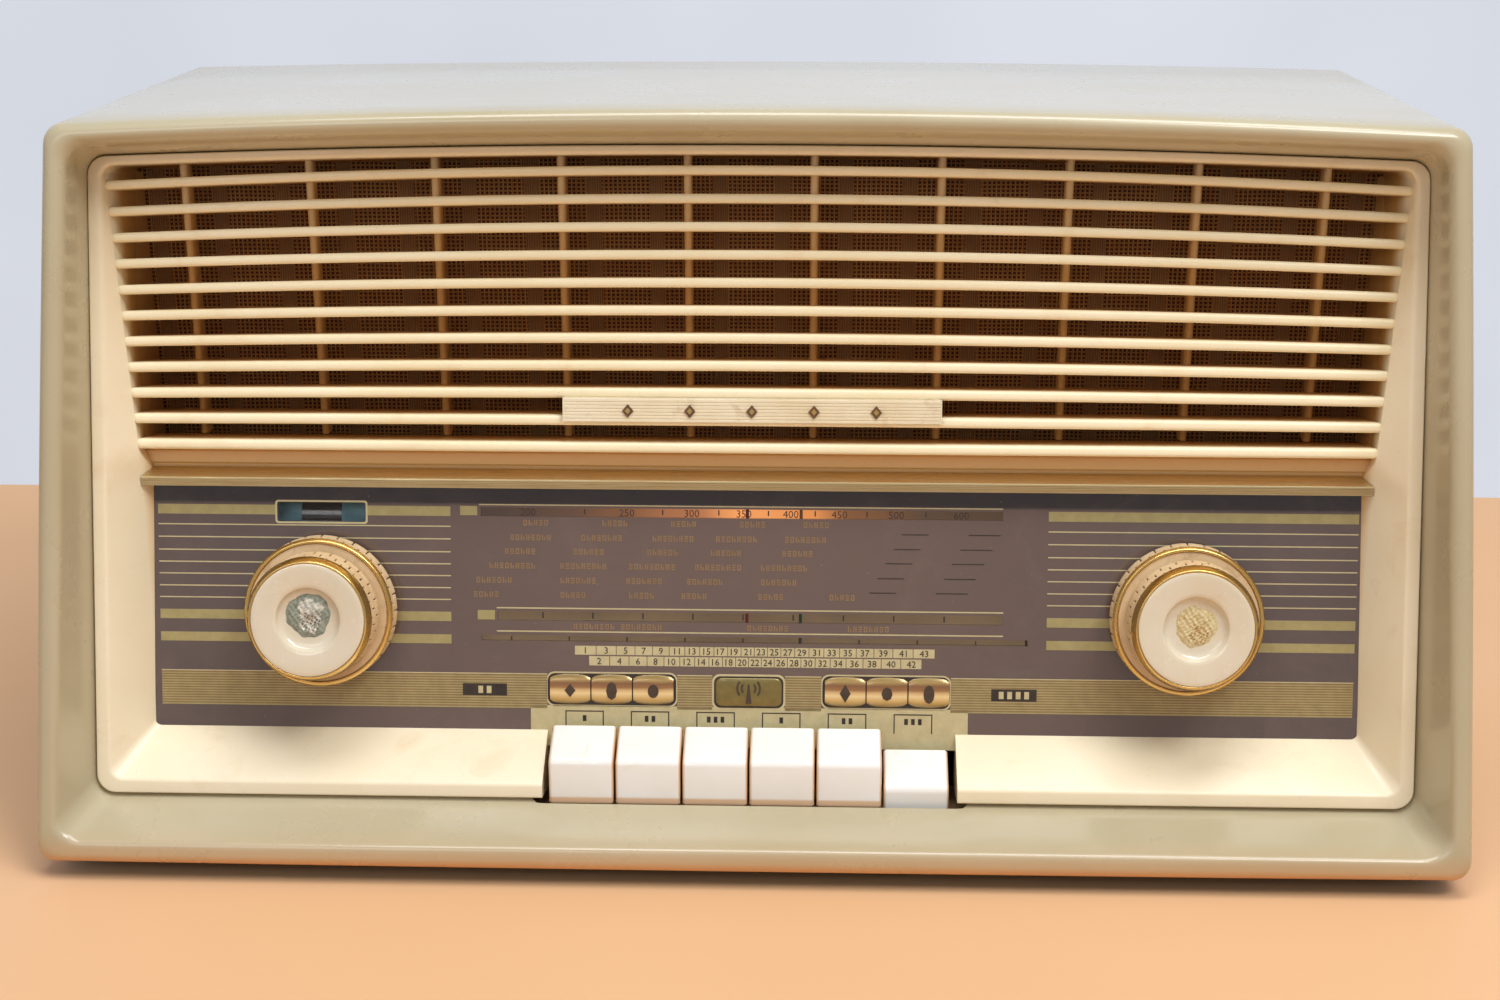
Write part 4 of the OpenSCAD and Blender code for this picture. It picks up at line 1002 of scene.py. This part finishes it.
def print_piece():
    """Everything printed on the pane. Words are left out: plain bars, dashes and numbers stand in for them."""
    p = Print()
    GOLD, PALE, FAINT, INK = 0, 1, 2, 3
    for x0, x1 in ((-226.3, -114.7), (110.9, 226.3)):
        for xa, xb in ((x0, -181.4), (-146.2, x1)) if x0 < 0 else ((x0, x1),):
            p.bar(xa, xb, 79.9, 83.6, mat=GOLD)
        for v in (76.0, 71.2, 66.3, 61.7, 57.2, 52.6, 48.1):
            p.bar(x0, x1, v - 0.22, v + 0.22, mat=PALE)
        p.bar(x0, x1, 39.8, 43.4, mat=GOLD)
        p.bar(x0, x1, 31.2, 34.7, mat=GOLD)
    frame_line = rounded(-181.4, -146.2, 76.6, 85.5, 1.2), rounded(-180.7, -146.9, 77.3, 84.8, 0.8)
    p.ring(*frame_line, 1, PALE)
    # fine-ribbed band: a gold ground with darker lines
    for x0, x1 in ((-226.3, -78.2), (-28.6, -15.2), (12.4, 26.2), (75.2, 226.3)):
        p.bar(x0, x1, 6.7, 20.0, mat=GOLD)
        for i in range(13):
            v = 7.3 + i * 0.99
            p.bar(x0, x1, v, v + 0.42, 1, FAINT)
        p.bar(x0, x1, 19.75, 20.1, 2, PALE)
    p.bar(-103.8, 93.8, 84.2, 84.6, mat=PALE)
    # lines of the middle scales and tiles at their ends
    p.bar(-97.3, 94.5, 44.9, 45.4, mat=PALE)
    p.bar(-97.3, 94.5, 36.0, 36.5, mat=PALE)
    p.bar(-111.0, -104.5, 80.3, 83.8, mat=GOLD)
    p.bar(-104.6, -98.0, 40.6, 44.2, mat=GOLD)
    # station marks: short blocks in seven rows, no lettering
    rows = [(77.7, (-82, -52, -26, 0, 24)), (72.1, (-84, -57, -30, -6, 20)), (66.8, (-88, -62, -34, -10, 17)),
            (61.3, (-91, -64, -38, -13, 12)), (55.8, (-98, -66, -41, -18, 10)), (50.3, (-101, -68, -42, -22, 7, 34)),
            (38.3, (-60, -42, 6, 44))]
    for r, (v, xs) in enumerate(rows):
        for k, x in enumerate(xs):
            n = 5 + (3 * r + 5 * k) % 5
            for i in range(n):
                xa, kind = x + (i - n / 2) * 2.0, (i * 7 + k * 3 + r) % 4
                if kind == 0:
                    outline_bars(p, xa, xa + 1.4, v - 1.1, v + 1.1, 0.42, 0, FAINT)
                elif kind == 1:
                    for vv in (-1.1, -0.25, 0.6):
                        p.bar(xa, xa + 1.4, v + vv, v + vv + 0.5, mat=FAINT)
                else:
                    p.bar(xa, xa + 0.5, v - 1.1, v + 1.1, mat=FAINT)
                    p.bar(xa + 0.85, xa + 1.35, v - 1.1, v + (1.1 if kind == 2 else 0.2), mat=FAINT)
    for r, v in enumerate((74.2, 68.6, 63.2, 57.5, 52.0)):
        for k in range(2):
            x = 56 + k * 25 - r * 3
            p.bar(x, x + 10 + k * 2, v, v + 0.4, mat=INK)
    # two rows of number tiles
    for x0, x1, v0, v1, first, count in ((-67.7, 69.0, 27.5, 30.9, 1, 22), (-62.3, 64.1, 23.4, 27.0, 2, 21)):
        widths = [1 + 0.7 * abs(2 * (i + 0.5) / count - 1) ** 1.9 for i in range(count)]
        x, unit = x0, (x1 - x0) / sum(widths)
        for i, w in enumerate(widths):
            p.bar(x + 0.14, x + w * unit - 0.14, v0, v1, mat=PALE)
            p.number(first + 2 * i, x + w * unit / 2, v0 + 0.5, 2.5, 2, INK)
            x += w * unit
    for n, x in ((200, -85.2), (250, -47.8), (300, -23.2), (350, -3.5), (400, 14.1), (450, 32.4), (500, 53.8), (600, 78.2)):
        p.number(n, x, 80.35, 2.8, 1, INK)
    for x in (-63.7, -34.2, -13.0, 5.7, 23.3, 42.8, 64.9):
        p.bar(x - 0.25, x + 0.25, 81.0, 83.0, 0, INK)
    for i in range(9):
        p.bar(-80 + i * 19, -79.4 + i * 19, 41.3, 43.6, 0, INK)
        p.bar(-92 + i * 22, -91.4 + i * 22, 32.7, 34.4, 0, INK)
    # plain tone marks at both ends of the ribbed band
    for x0, x1, n in ((-110.5, -93.6, 2), (90.5, 107.6, 4)):
        p.bar(x0, x1, 11.4, 16.0, 2, INK)
        for i in range(n):
            xm = (x0 + x1) / 2 + (i - (n - 1) / 2) * 3.2
            p.bar(xm - 0.9, xm + 0.9, 12.3, 15.1, 3, PALE)
    # plate behind the keys, with one bracket for each key
    p.shape(rounded(-84.5, 81.8, -7.7, 7.9, 0.8), 0, PALE)
    for i in range(6):
        x = -71.3 + i * 25.0
        outline_bars(p, x, x + 14.7, -1.5, 6.0, 0.45, 1, INK, open_low=True)
        for j in range(i % 3 + 1):
            xm = x + 7.35 + (j - (i % 3) / 2) * 2.6
            p.bar(xm - 0.7, xm + 0.7, 1.9, 4.2, 1, INK)
    # frames round the barrels and the middle badge
    for x0, x1 in ((-78.6, -28.4), (26.0, 75.4)):
        p.shape(rounded(x0, x1, 7.6, 20.9, 3.2), 0, PALE)
        p.shape(rounded(x0 + 0.6, x1 - 0.6, 8.2, 20.3, 2.8), 1, INK)
    p.shape(rounded(-15.4, 12.6, 6.9, 20.6, 3.0), 1, PALE)
    p.shape(rounded(-14.6, 11.8, 7.7, 19.8, 2.5), 2, INK)
    p.object("dial_print", [M["gold"], M["pale_gold"], M["faint"], M["ink"]], slot="dial_glass", smooth=0)


print_piece()


BARREL_W = 15.85


def barrels_piece():
    b = Build()
    for x0 in (-77.3, 27.3):
        for i in range(3):
            xa, xb = x0 + i * BARREL_W + 0.25, x0 + (i + 1) * BARREL_W - 0.25
            rings = []
            for j in range(13):
                t = j / 12
                x = lerp(xa, xb, t)
                swell = 1 - (2 * t - 1) ** 2
                h = 4.2 + 1.5 * math.sqrt(max(0, swell))
                ring = []
                for k in range(13):
                    u = 2 * k / 12 - 1
                    lift = 1.15 * math.sqrt(max(0, 1 - u * u)) * (0.75 + 0.25 * math.sqrt(max(0, swell)))
                    ring.append(dial(px(x), pv(14.3) + u * h, PRINT_W + 0.12 + lift))
                ring.append(dial(px(x), pv(14.3) + h, PRINT_W + 0.02))
                ring.append(dial(px(x), pv(14.3) - h, PRINT_W + 0.02))
                rings.append(ring)
            b.loft(rings, cap0=True, cap1=True)
    b.object("dial_barrels", M["barrel"], slot="dial_glass", smooth=35)
    b = Build()
    for n, x0 in enumerate((-77.3, 27.3)):
        for i in range(3):
            xm = x0 + (i + 0.5) * BARREL_W
            k = n * 3 + i
            tall = 3.5 if k % 2 else 2.6
            pts = [(px(xm) + 2.1 * math.cos(a), pv(13.9) + tall * math.sin(a)) for a in around(4 + 4 * (k % 3))]
            b.prism(pts, dial, PRINT_W + 0.6, PRINT_W + 1.36)
    b.object("barrel_marks", M["mark"], slot="dial_glass", smooth=30)
    b = Build()
    outer = rounded(px(-13.9), px(11.1), pv(8.3), pv(19.2), 2.2)
    cx, cv = (px(-13.9) + px(11.1)) / 2, pv(13.75)
    rings = []
    for s, lift in ((1.0, 0.16), (0.985, 0.42), (0.93, 0.62), (0.7, 0.85), (0.4, 0.95), (0.1, 1.0)):
        rings.append([dial(cx + (x - cx) * s, cv + (v - cv) * s, PRINT_W + lift) for x, v in outer])
    b.loft(rings, cap0=True, cap1=True)
    b.object("dial_badge", M["badge"], slot="dial_glass", smooth=45)
    b = Build()
    # a mast with two waves on each side
    b.prism([(cx - 1.1, cv - 4.2), (cx + 1.1, cv - 4.2), (cx + 0.3, cv + 3.2), (cx - 0.3, cv + 3.2)], dial, PRINT_W + 0.7, PRINT_W + 1.12)
    for side in (0, math.pi):
        for r in (2.6, 4.3):
            arc = [side + math.radians(-38 + 76 * j / 10) for j in range(11)]
            ends = [(r + 0.35, a) for a in arc] + [(r - 0.35, a) for a in reversed(arc)]
            b.prism([(cx + q * math.cos(a), cv + 1.6 + q * math.sin(a)) for q, a in ends], dial,
                    PRINT_W + 0.6, PRINT_W + 1.12)
    b.object("badge_mark", M["mark"], slot="dial_glass", smooth=30)


def barrel_material():
    """Gilt barrels: painted shade in dark copper above, a painted highlight as a bright line of light across the
    middle, gold below.
    """
    k = Mat("barrel_gilt", 0.3, metallic=0.3, coat=0.5, coat_rough=0.06)
    x, y, z = k.split()
    low, high = dial(0, pv(8.6), PRINT_W).z, dial(0, pv(20.0), PRINT_W).z
    t = k.math("DIVIDE", k.sub(z, low / 1000), (high - low) / 1000)
    t = k.plus(t, k.mul(k.sub(k.noise(90, 3), 0.5), 0.10))
    k.color(k.ramp(t, [(0.02, (150, 124, 70)), (0.22, (206, 176, 112)), (0.40, (240, 216, 162)), (0.50, (226, 190, 132)),
                       (0.60, (164, 118, 74)), (0.74, (140, 98, 62)), (0.86, (176, 146, 88)), (0.98, (140, 116, 64))]))
    k.bump(k.noise(600, 3), 0.05, 0.0001)
    return k.m


M["barrel"] = barrel_material()
M["badge"] = gold_print("badge_olive", (134, 118, 62), (116, 100, 52), rough=0.35)
M["mark"] = plain("mark_brown", (74, 58, 44), (60, 46, 36), rough=0.5, scale=300)
barrels_piece()


def pointer_material(name, a, b, z_cut):
    """Painted blade: its own colour below z_cut; above it, painted glow in the strip's warm orange, where it only
    passes behind the scale.
    """
    k = Mat(name, 0.4)
    x, y, z = k.split()
    own = k.tones(k.noise(300, 3), 0.3, 0.7, a, b)
    # painted glow: above z_cut the blade takes the strip's warm orange
    over = k.math("GREATER_THAN", z, z_cut)
    k.color(k.mix(over, own, (206, 136, 82)))
    return k.m


paint("am_pointer", pointer_material("red_pointer", (214, 40, 36), (170, 24, 22), 1.0))
paint("fm_pointer", pointer_material("green_pointer", (30, 130, 72), (20, 96, 54), 0.084))


def eye_piece():
    """Tuning-eye valve lying behind its window: a glass tube with two teal phosphor bars."""
    b = Build()

    def on_tube(x, r, a):
        return dial(x, 101 + r * math.sin(a), -38 + r * math.cos(a))

    tube = [(-199.8, 0.01), (-199.8, 9.5), (-199.2, 10.6), (-198, 11), (-150, 11), (-139, 11), (-136.5, 10), (-134.8, 7),
            (-134.1, 3), (-134.1, 0.01)]
    base = [(-206, 0.01), (-206, 11.6), (-205.4, 12.4), (-200.6, 12.4), (-200, 11.6), (-200, 0.01)]
    for mat, prof in enumerate((tube, base)):
        b.loft([[on_tube(x, r, a) for a in around(48)] for x, r in prof], cap0=True, cap1=True, mat=mat)
    for ends in ((-182.0, -172.2), (-156.8, -146.0)):
        arc = [math.radians(-60 + 10 * j) for j in range(13)]
        bar = [(10.99, a) for a in arc] + [(11.11, a) for a in reversed(arc)]
        b.loft([[on_tube(x, r, a) for r, a in bar] for x in ends], cap0=True, cap1=True, mat=2)
    b.box(-206, -200, 83, 91, -50, -34, dial, mat=1)
    b.object("tuning_eye_valve", [M["eye_glass"], CAD_MATS["pertinax"], M["teal"]], node="tuning_eye", slot="valve_glass",
             smooth=35)


M["eye_glass"] = plain("eye_glass", (70, 66, 62), (56, 54, 52), rough=0.12, coat=1.0, bump=0.02)
eye_piece()


# ---------------------------------------------------------------- knobs
def knob_axis(side):
    """Frame of the left (-1) or right (1) knobs: across, up, and out along their shaft."""
    return lambda a, b, w: dial(side * KNOB_X + a, KNOB_V + b, w)


def bricks(b, axis, rows, w0, w1, count, r_at):
    """Staggered rows of flat curved blocks round a skirt."""
    h, pitch = (w1 - w0) / rows, 2 * math.pi / count
    for row in range(rows):
        lo, hi = w0 + row * h + 0.2, w0 + (row + 1) * h - 0.2
        r_lo, r_hi = r_at(lo), r_at(hi)
        edge = 0.27 / r_lo
        for n in range(count):
            a0 = (n + 0.5 * (row % 2)) * pitch
            stops = [(edge, 0.2), (edge + 0.012, 0), (pitch * 0.33, 0), (pitch * 0.67, 0), (pitch - edge - 0.012, 0),
                     (pitch - edge, 0.2)]
            rings = []
            for a, drop in stops:
                sec = [(r_lo - 0.8, lo), (r_lo - 0.14 - drop, lo), (r_lo - drop, lo + 0.2),
                       (r_hi - drop, hi - 0.2), (r_hi - 0.14 - drop, hi), (r_hi - 0.8, hi)]
                rings.append([axis(r * math.cos(a0 + a), r * math.sin(a0 + a), w) for r, w in sec])
            b.loft(rings, cap0=True, cap1=True)


def knob(side, body, slot, prof, steps, skirt, r_at, core, core_steps, trim, trim_name):
    """One knob: its moulding, a skirt of bricks with dark grooves, and the gilt trim. Profiles are (radius, depth).

    skirt holds the rows of bricks, their two end depths and the bricks in a row; r_at gives the skirt's radius."""
    axis = knob_axis(side)
    b = Build()
    b.lathe(prof, axis, steps=steps)
    b.object(f"{body}_knob_moulding", M["knob" if slot == "knob_plastic" else "ring"], body, node=f"{body}_knob", slot=slot,
             smooth=32)
    b = Build()
    bricks(b, axis, *skirt, r_at)
    b.lathe(core, axis, steps=core_steps, mat=1)
    b.object(f"{body}_knob_skirt", [M["ring"], M["groove"]], body, slot=slot, smooth=32)
    b = Build()
    b.lathe(trim, axis, steps=steps)
    b.object(f"{body}_{trim_name}", M["gilt"], body, node=f"{body}_knob_trim", slot="gilt_bezel", smooth=40)


def front_knob(side, body):
    """The small knob in front, with its bezel and the bare recess where a cap is missing."""
    prof = [(0, 6), (3.05, 6), (3.05, -5.6), (22.6, -5.6), (22.6, -5.2), (21.7, 6.35), (21.02, 6.6), (21.02, 10.5), (20.85, 10.85),
            (20.4, 11.0), (19.2, 10.98), (16.0, 10.72), (13.4, 10.5), (12.6, 10.38), (12.0, 10.1), (11.7, 9.6), (11.3, 8.7),
            (10.7, 8.1), (9.8, 7.8), (8.6, 7.65), (4, 7.6), (0, 7.6)]
    core = [(22.0, -5.3), (22.75, -5.25), (21.85, 6.4), (21.3, 6.4)]
    trim = fillet([(21.1, 6.7), (22.9, 6.6), (23.2, 7.1), (21.75, 10.9), (21.1, 10.9)], [0, 0.2, 0.3, 0.4, 0.1], steps=3)
    knob(side, body, "knob_plastic", prof, 144, (3, -5.2, 6.4, 24), lambda w: 23.4 - (w + 5.2) / 11.6 * 0.9, core, 96, trim,
         "bezel")
    glue_piece(side, body, knob_axis(side))


def glue_piece(side, body, axis):
    """Dried glue left in the recess, where a cap is missing."""
    b = Build()
    off_x, off_y, r_max = (-0.2, 1.6, 8.4) if side < 0 else (0.2, 0.8, 7.6)

    def height(x, y, f):
        lump = 0.35 * math.sin(x * 1.1 + 1) * math.cos(y * 1.3) + 0.22 * math.sin(x * 2.9 + y * 2.1) + 0.16 * math.cos(y * 4.3 - x * 2.4)
        dome = 0.9 * math.exp(-((x - 0.8) ** 2 + (y - 2.0) ** 2) / 9)
        crater = -0.7 * math.exp(-((x - 0.6) ** 2 + (y + 3.0) ** 2) / 5)
        return 7.62 + min(1, f * 3.5) * (0.75 + lump * 0.5 + (dome + crater) * (1 if side < 0 else 0.3))

    n_r, n_a = 26, 120
    grid = []
    for i in range(n_r + 1):
        f = i / n_r
        ring = []
        for a in around(n_a):
            edge = 1 + 0.05 * math.sin(3 * a + side) + 0.03 * math.sin(7 * a + 2) + 0.02 * math.sin(13 * a)
            r = max(0.03, r_max * (1 - f) * edge)
            ring.append((r * math.cos(a), r * math.sin(a), f))
        grid.append(ring)
    for i in range(n_r):
        for j in range(n_a):
            q = [grid[i][j], grid[i][(j + 1) % n_a], grid[i + 1][(j + 1) % n_a], grid[i + 1][j]]
            x, y = q[0][0], q[0][1]
            a = math.atan2(y - 1.8, x - 0.8)
            white = math.hypot(x - 0.8, y - 1.8) < 4.5 + 0.35 * math.sin(5 * a) + 0.3 * math.sin(3 * a + 1) + 0.25 * math.sin(11 * a)
            cracked = math.hypot(x - 0.7, y + 3.0) < 3.9 + 0.5 * math.sin(4 * math.atan2(y + 3.0, x - 0.7))
            deep = cracked and math.sin(x * 3.1 + 1.3 * math.sin(y * 2.2)) * math.cos(y * 3.4 - x) > 0.25
            if side < 0:
                mat = 2 if deep else int(cracked or white)
            else:
                mat = 4 if deep else 3
            b.add([axis(off_x + x_, off_y + y_, height(x_, y_, f)) for x_, y_, f in q], [(0, 1, 2, 3)], mat)
    b.object(f"{body}_glue", [M[g] for g in GLUES], body, slot="knob_plastic", smooth=60)


def ring_knob(side, body):
    """The wide ring behind the front knob, with its band."""
    prof = [(5.05, -7.0), (5.05, -16.6), (27.4, -16.6), (27.4, -16.2), (26.5, -9.0), (26.12, -8.9), (26.12, -7.3), (25.9, -7.0),
            (24, -6.98)]
    core = [(27.0, -16.55), (27.55, -16.5), (26.65, -9.1), (26.3, -9.1)]
    trim = fillet([(26.2, -8.9), (27.8, -8.9), (28.0, -7.6), (27.2, -6.4), (26.2, -6.4)], [0, 0.2, 0.5, 0.6, 0.3], steps=4)
    knob(side, body, "ring_knob_plastic", prof, 168, (2, -16.5, -9.1, 28), lambda w: 28.2 - (w + 16.6) / 7.6 * 0.9, core, 112,
         trim, "band")


def glue_material(name, a, b, c):
    """Dry, crumbly glue in three tones."""
    k = Mat(name, 0.75)
    k.color(k.ramp(k.noise(420, 6, 0.7, distortion=1.5), [(0.38, a), (0.47, b), (0.60, c)]))
    k.bump(k.noise(900, 5, 0.7), 0.9, 0.0006)
    return k.m


GLUES = {"grey_glue": ((120, 126, 112), (136, 142, 126), (156, 160, 146)),
         "white_glue": ((150, 154, 142), (186, 184, 170), (226, 222, 208)),
         "dark_glue": ((84, 84, 76), (104, 104, 94), (130, 130, 118)),
         "yellow_glue": ((190, 166, 112), (206, 186, 134), (218, 204, 162)),
         "brown_glue": ((150, 112, 62), (168, 130, 78), (184, 150, 96))}
for glue, tones in GLUES.items():
    M[glue] = glue_material(glue, *tones)
M["groove"] = plain("knob_groove", (104, 76, 42), (84, 60, 32), rough=0.6, scale=300)
front_knob(-1, "volume")
front_knob(1, "tuning")
ring_knob(-1, "bass")
ring_knob(1, "treble")


# ---------------------------------------------------------------- piano keys
KEY_PITCH, KEY_HALF, KEY_EDGE = 25.0, 12.15, 1.5
KEY_PIVOT = (125.0, 27.0)       # (y, z) of the pivot rod
KEY_PRESS = 5.6     # swing of a pressed key, in degrees


def key_piece(i, press):
    """Key i with its lever and hub, swung by press degrees about the pivot rod."""
    x_mid = (i - 2.5) * KEY_PITCH - 0.4
    turn = math.radians(press)

    def place(x, y, z):
        dy, dz = y - KEY_PIVOT[0], z - KEY_PIVOT[1]
        return Vector((x_mid + x, KEY_PIVOT[0] + dy * math.cos(turn) - dz * math.sin(turn),
                       KEY_PIVOT[1] + dy * math.sin(turn) + dz * math.cos(turn)))

    side = fillet([(28.2, 20.3), (29.8, 37.2), (46.9, 44.75), (47.0, 23.2)], [0.6, 3.2, 0.8, 0.4], steps=8)
    n = len(side)
    inward = []
    for j in range(n):
        t = (side[(j + 1) % n] - side[j - 1]).normalized()
        inward.append(Vector((t.y, -t.x)))
    centre = sum(side, Vector((0, 0))) / n
    if (centre - side[n // 3]).dot(inward[n // 3]) < 0:
        inward = [-q for q in inward]
    # (x, how far the outline is drawn in) from the left edge, which is rounded, to the middle; then mirrored
    edge = [math.radians(d) for d in range(90, -1, -18)]
    stops = [(KEY_EDGE * (1 - math.sin(a)) - KEY_HALF, KEY_EDGE * (1 - math.cos(a))) for a in edge]
    stops += [(x, 0) for x in (-6, 0, 6)] + [(-x, q) for x, q in reversed(stops)]
    b = Build()
    b.loft([[place(x, *(p + turned * q)) for p, turned in zip(side, inward)] for x, q in stops], cap0=True, cap1=True)
    b.box(-5, 5, 46, 121, 23.6, 29, place)
    hub = [(2.06, -5), (5, -5), (5, 5), (2.06, 5)]
    b.loft([[place(x, KEY_PIVOT[0] + r * math.cos(a), KEY_PIVOT[1] + r * math.sin(a)) for r, x in hub] for a in around(32)],
           path_closed=True)
    b.object(f"piano_key_{i + 1}", M["key"], f"key{i + 1}_lever", node=f"key_{i + 1}", slot="key_plastic", smooth=42)


for i in range(6):
    key_piece(i, KEY_PRESS if i == 5 else 0)


# ---------------------------------------------------------------- floor, light and camera
def stage_sheet(k, n, x_half, point):
    """A sheet of n by n faces that carries material k; point(x, t) gives its points, t from 0 to 1."""
    me = bpy.data.meshes.new(k.m.name)
    pts = [point(x_half * (2 * i / n - 1), j / n) for j in range(n + 1) for i in range(n + 1)]
    row = n + 1
    me.from_pydata(pts, [], [(c, c + 1, c + row + 1, c + row) for j in range(n) for c in range(j * row, j * row + n)])
    me.materials.append(k.m)
    ob = bpy.data.objects.new(k.m.name, me)
    bpy.context.scene.collection.objects.link(ob)


def floor_piece():
    """Warm table top under the feet."""
    k = Mat("floor", 0.55)
    k.color(k.tones(k.noise(3, 2), 0.3, 0.7, (228, 182, 138), (224, 176, 130)))
    stage_sheet(k, 24, 2.4, lambda x, t: (x, -1.9 + 2.24 * t, -0.0002))


def backdrop_piece():
    """Pale, slightly glowing wall, far enough back for a view from behind."""
    k = Mat("backdrop", 0.8)
    col = k.tones(k.noise(1.5, 2), 0.3, 0.7, (217, 219, 226), (207, 210, 217))
    k.color(col)
    k.glow(col, 0.54)
    stage_sheet(k, 12, 6, lambda x, t: (x, 2.6 + 0.2 * t ** 2, -1.4 + 4.4 * t))


floor_piece()
backdrop_piece()
studio = bpy.data.worlds.new("studio")
bpy.context.scene.world = studio
studio.use_nodes = True
sky = studio.node_tree.nodes["Background"].inputs
sky[0].default_value, sky[1].default_value = (0.90, 0.94, 1.0, 1), 0.38
bpy.context.scene.view_settings.view_transform = "Standard"


def lamp(name, place, aim, size, power, tint):
    """Rectangular lamp at place that looks at aim."""
    li = bpy.data.lights.new(name, "AREA")
    li.shape, li.size, li.size_y, li.energy, li.color = "RECTANGLE", size[0], size[1], power, tint
    ob = bpy.data.objects.new(name, li)
    bpy.context.scene.collection.objects.link(ob)
    ob.location = place
    ob.rotation_euler = (Vector(aim) - Vector(place)).to_track_quat("-Z", "Y").to_euler()


lamp("over_light", (0.1, -0.3, 1.6), (0, -0.05, 0.08), (1.2, 0.5), 14.5, (0.98, 0.99, 1.0))
lamp("key_light", (0.85, -0.95, 1.75), (0, 0, 0.12), (0.8, 0.6), 19, (0.99, 0.99, 1.0))
lamp("fill_light", (-0.7, -1.7, 1.1), (0, 0, 0.12), (1.0, 0.6), 4.5, (0.99, 0.99, 1.0))

cam = bpy.data.cameras.new("camera")
cam_ob = bpy.data.objects.new("camera", cam)
bpy.context.scene.collection.objects.link(cam_ob)
# the photo's camera, as fitted
yaw, pitch, roll = -0.0346, 0.32856, 0.0022
fwd = Vector((math.sin(yaw) * math.cos(pitch), math.cos(yaw) * math.cos(pitch), -math.sin(pitch)))
right = Vector((math.cos(yaw), -math.sin(yaw), 0))
down = fwd.cross(right)
r2 = right * math.cos(roll) + down * math.sin(roll)
d2 = -right * math.sin(roll) + down * math.cos(roll)
mat = Matrix.Identity(4)
for i in range(3):
    mat[i][0], mat[i][1], mat[i][2] = r2[i], -d2[i], -fwd[i]
mat.translation = world(26.77, -729.58, 399.71)
cam_ob.matrix_world = mat
cam.sensor_width, cam.lens, cam.clip_start, cam.clip_end = 36, 54.03, 0.01, 20
bpy.context.scene.camera = cam_ob
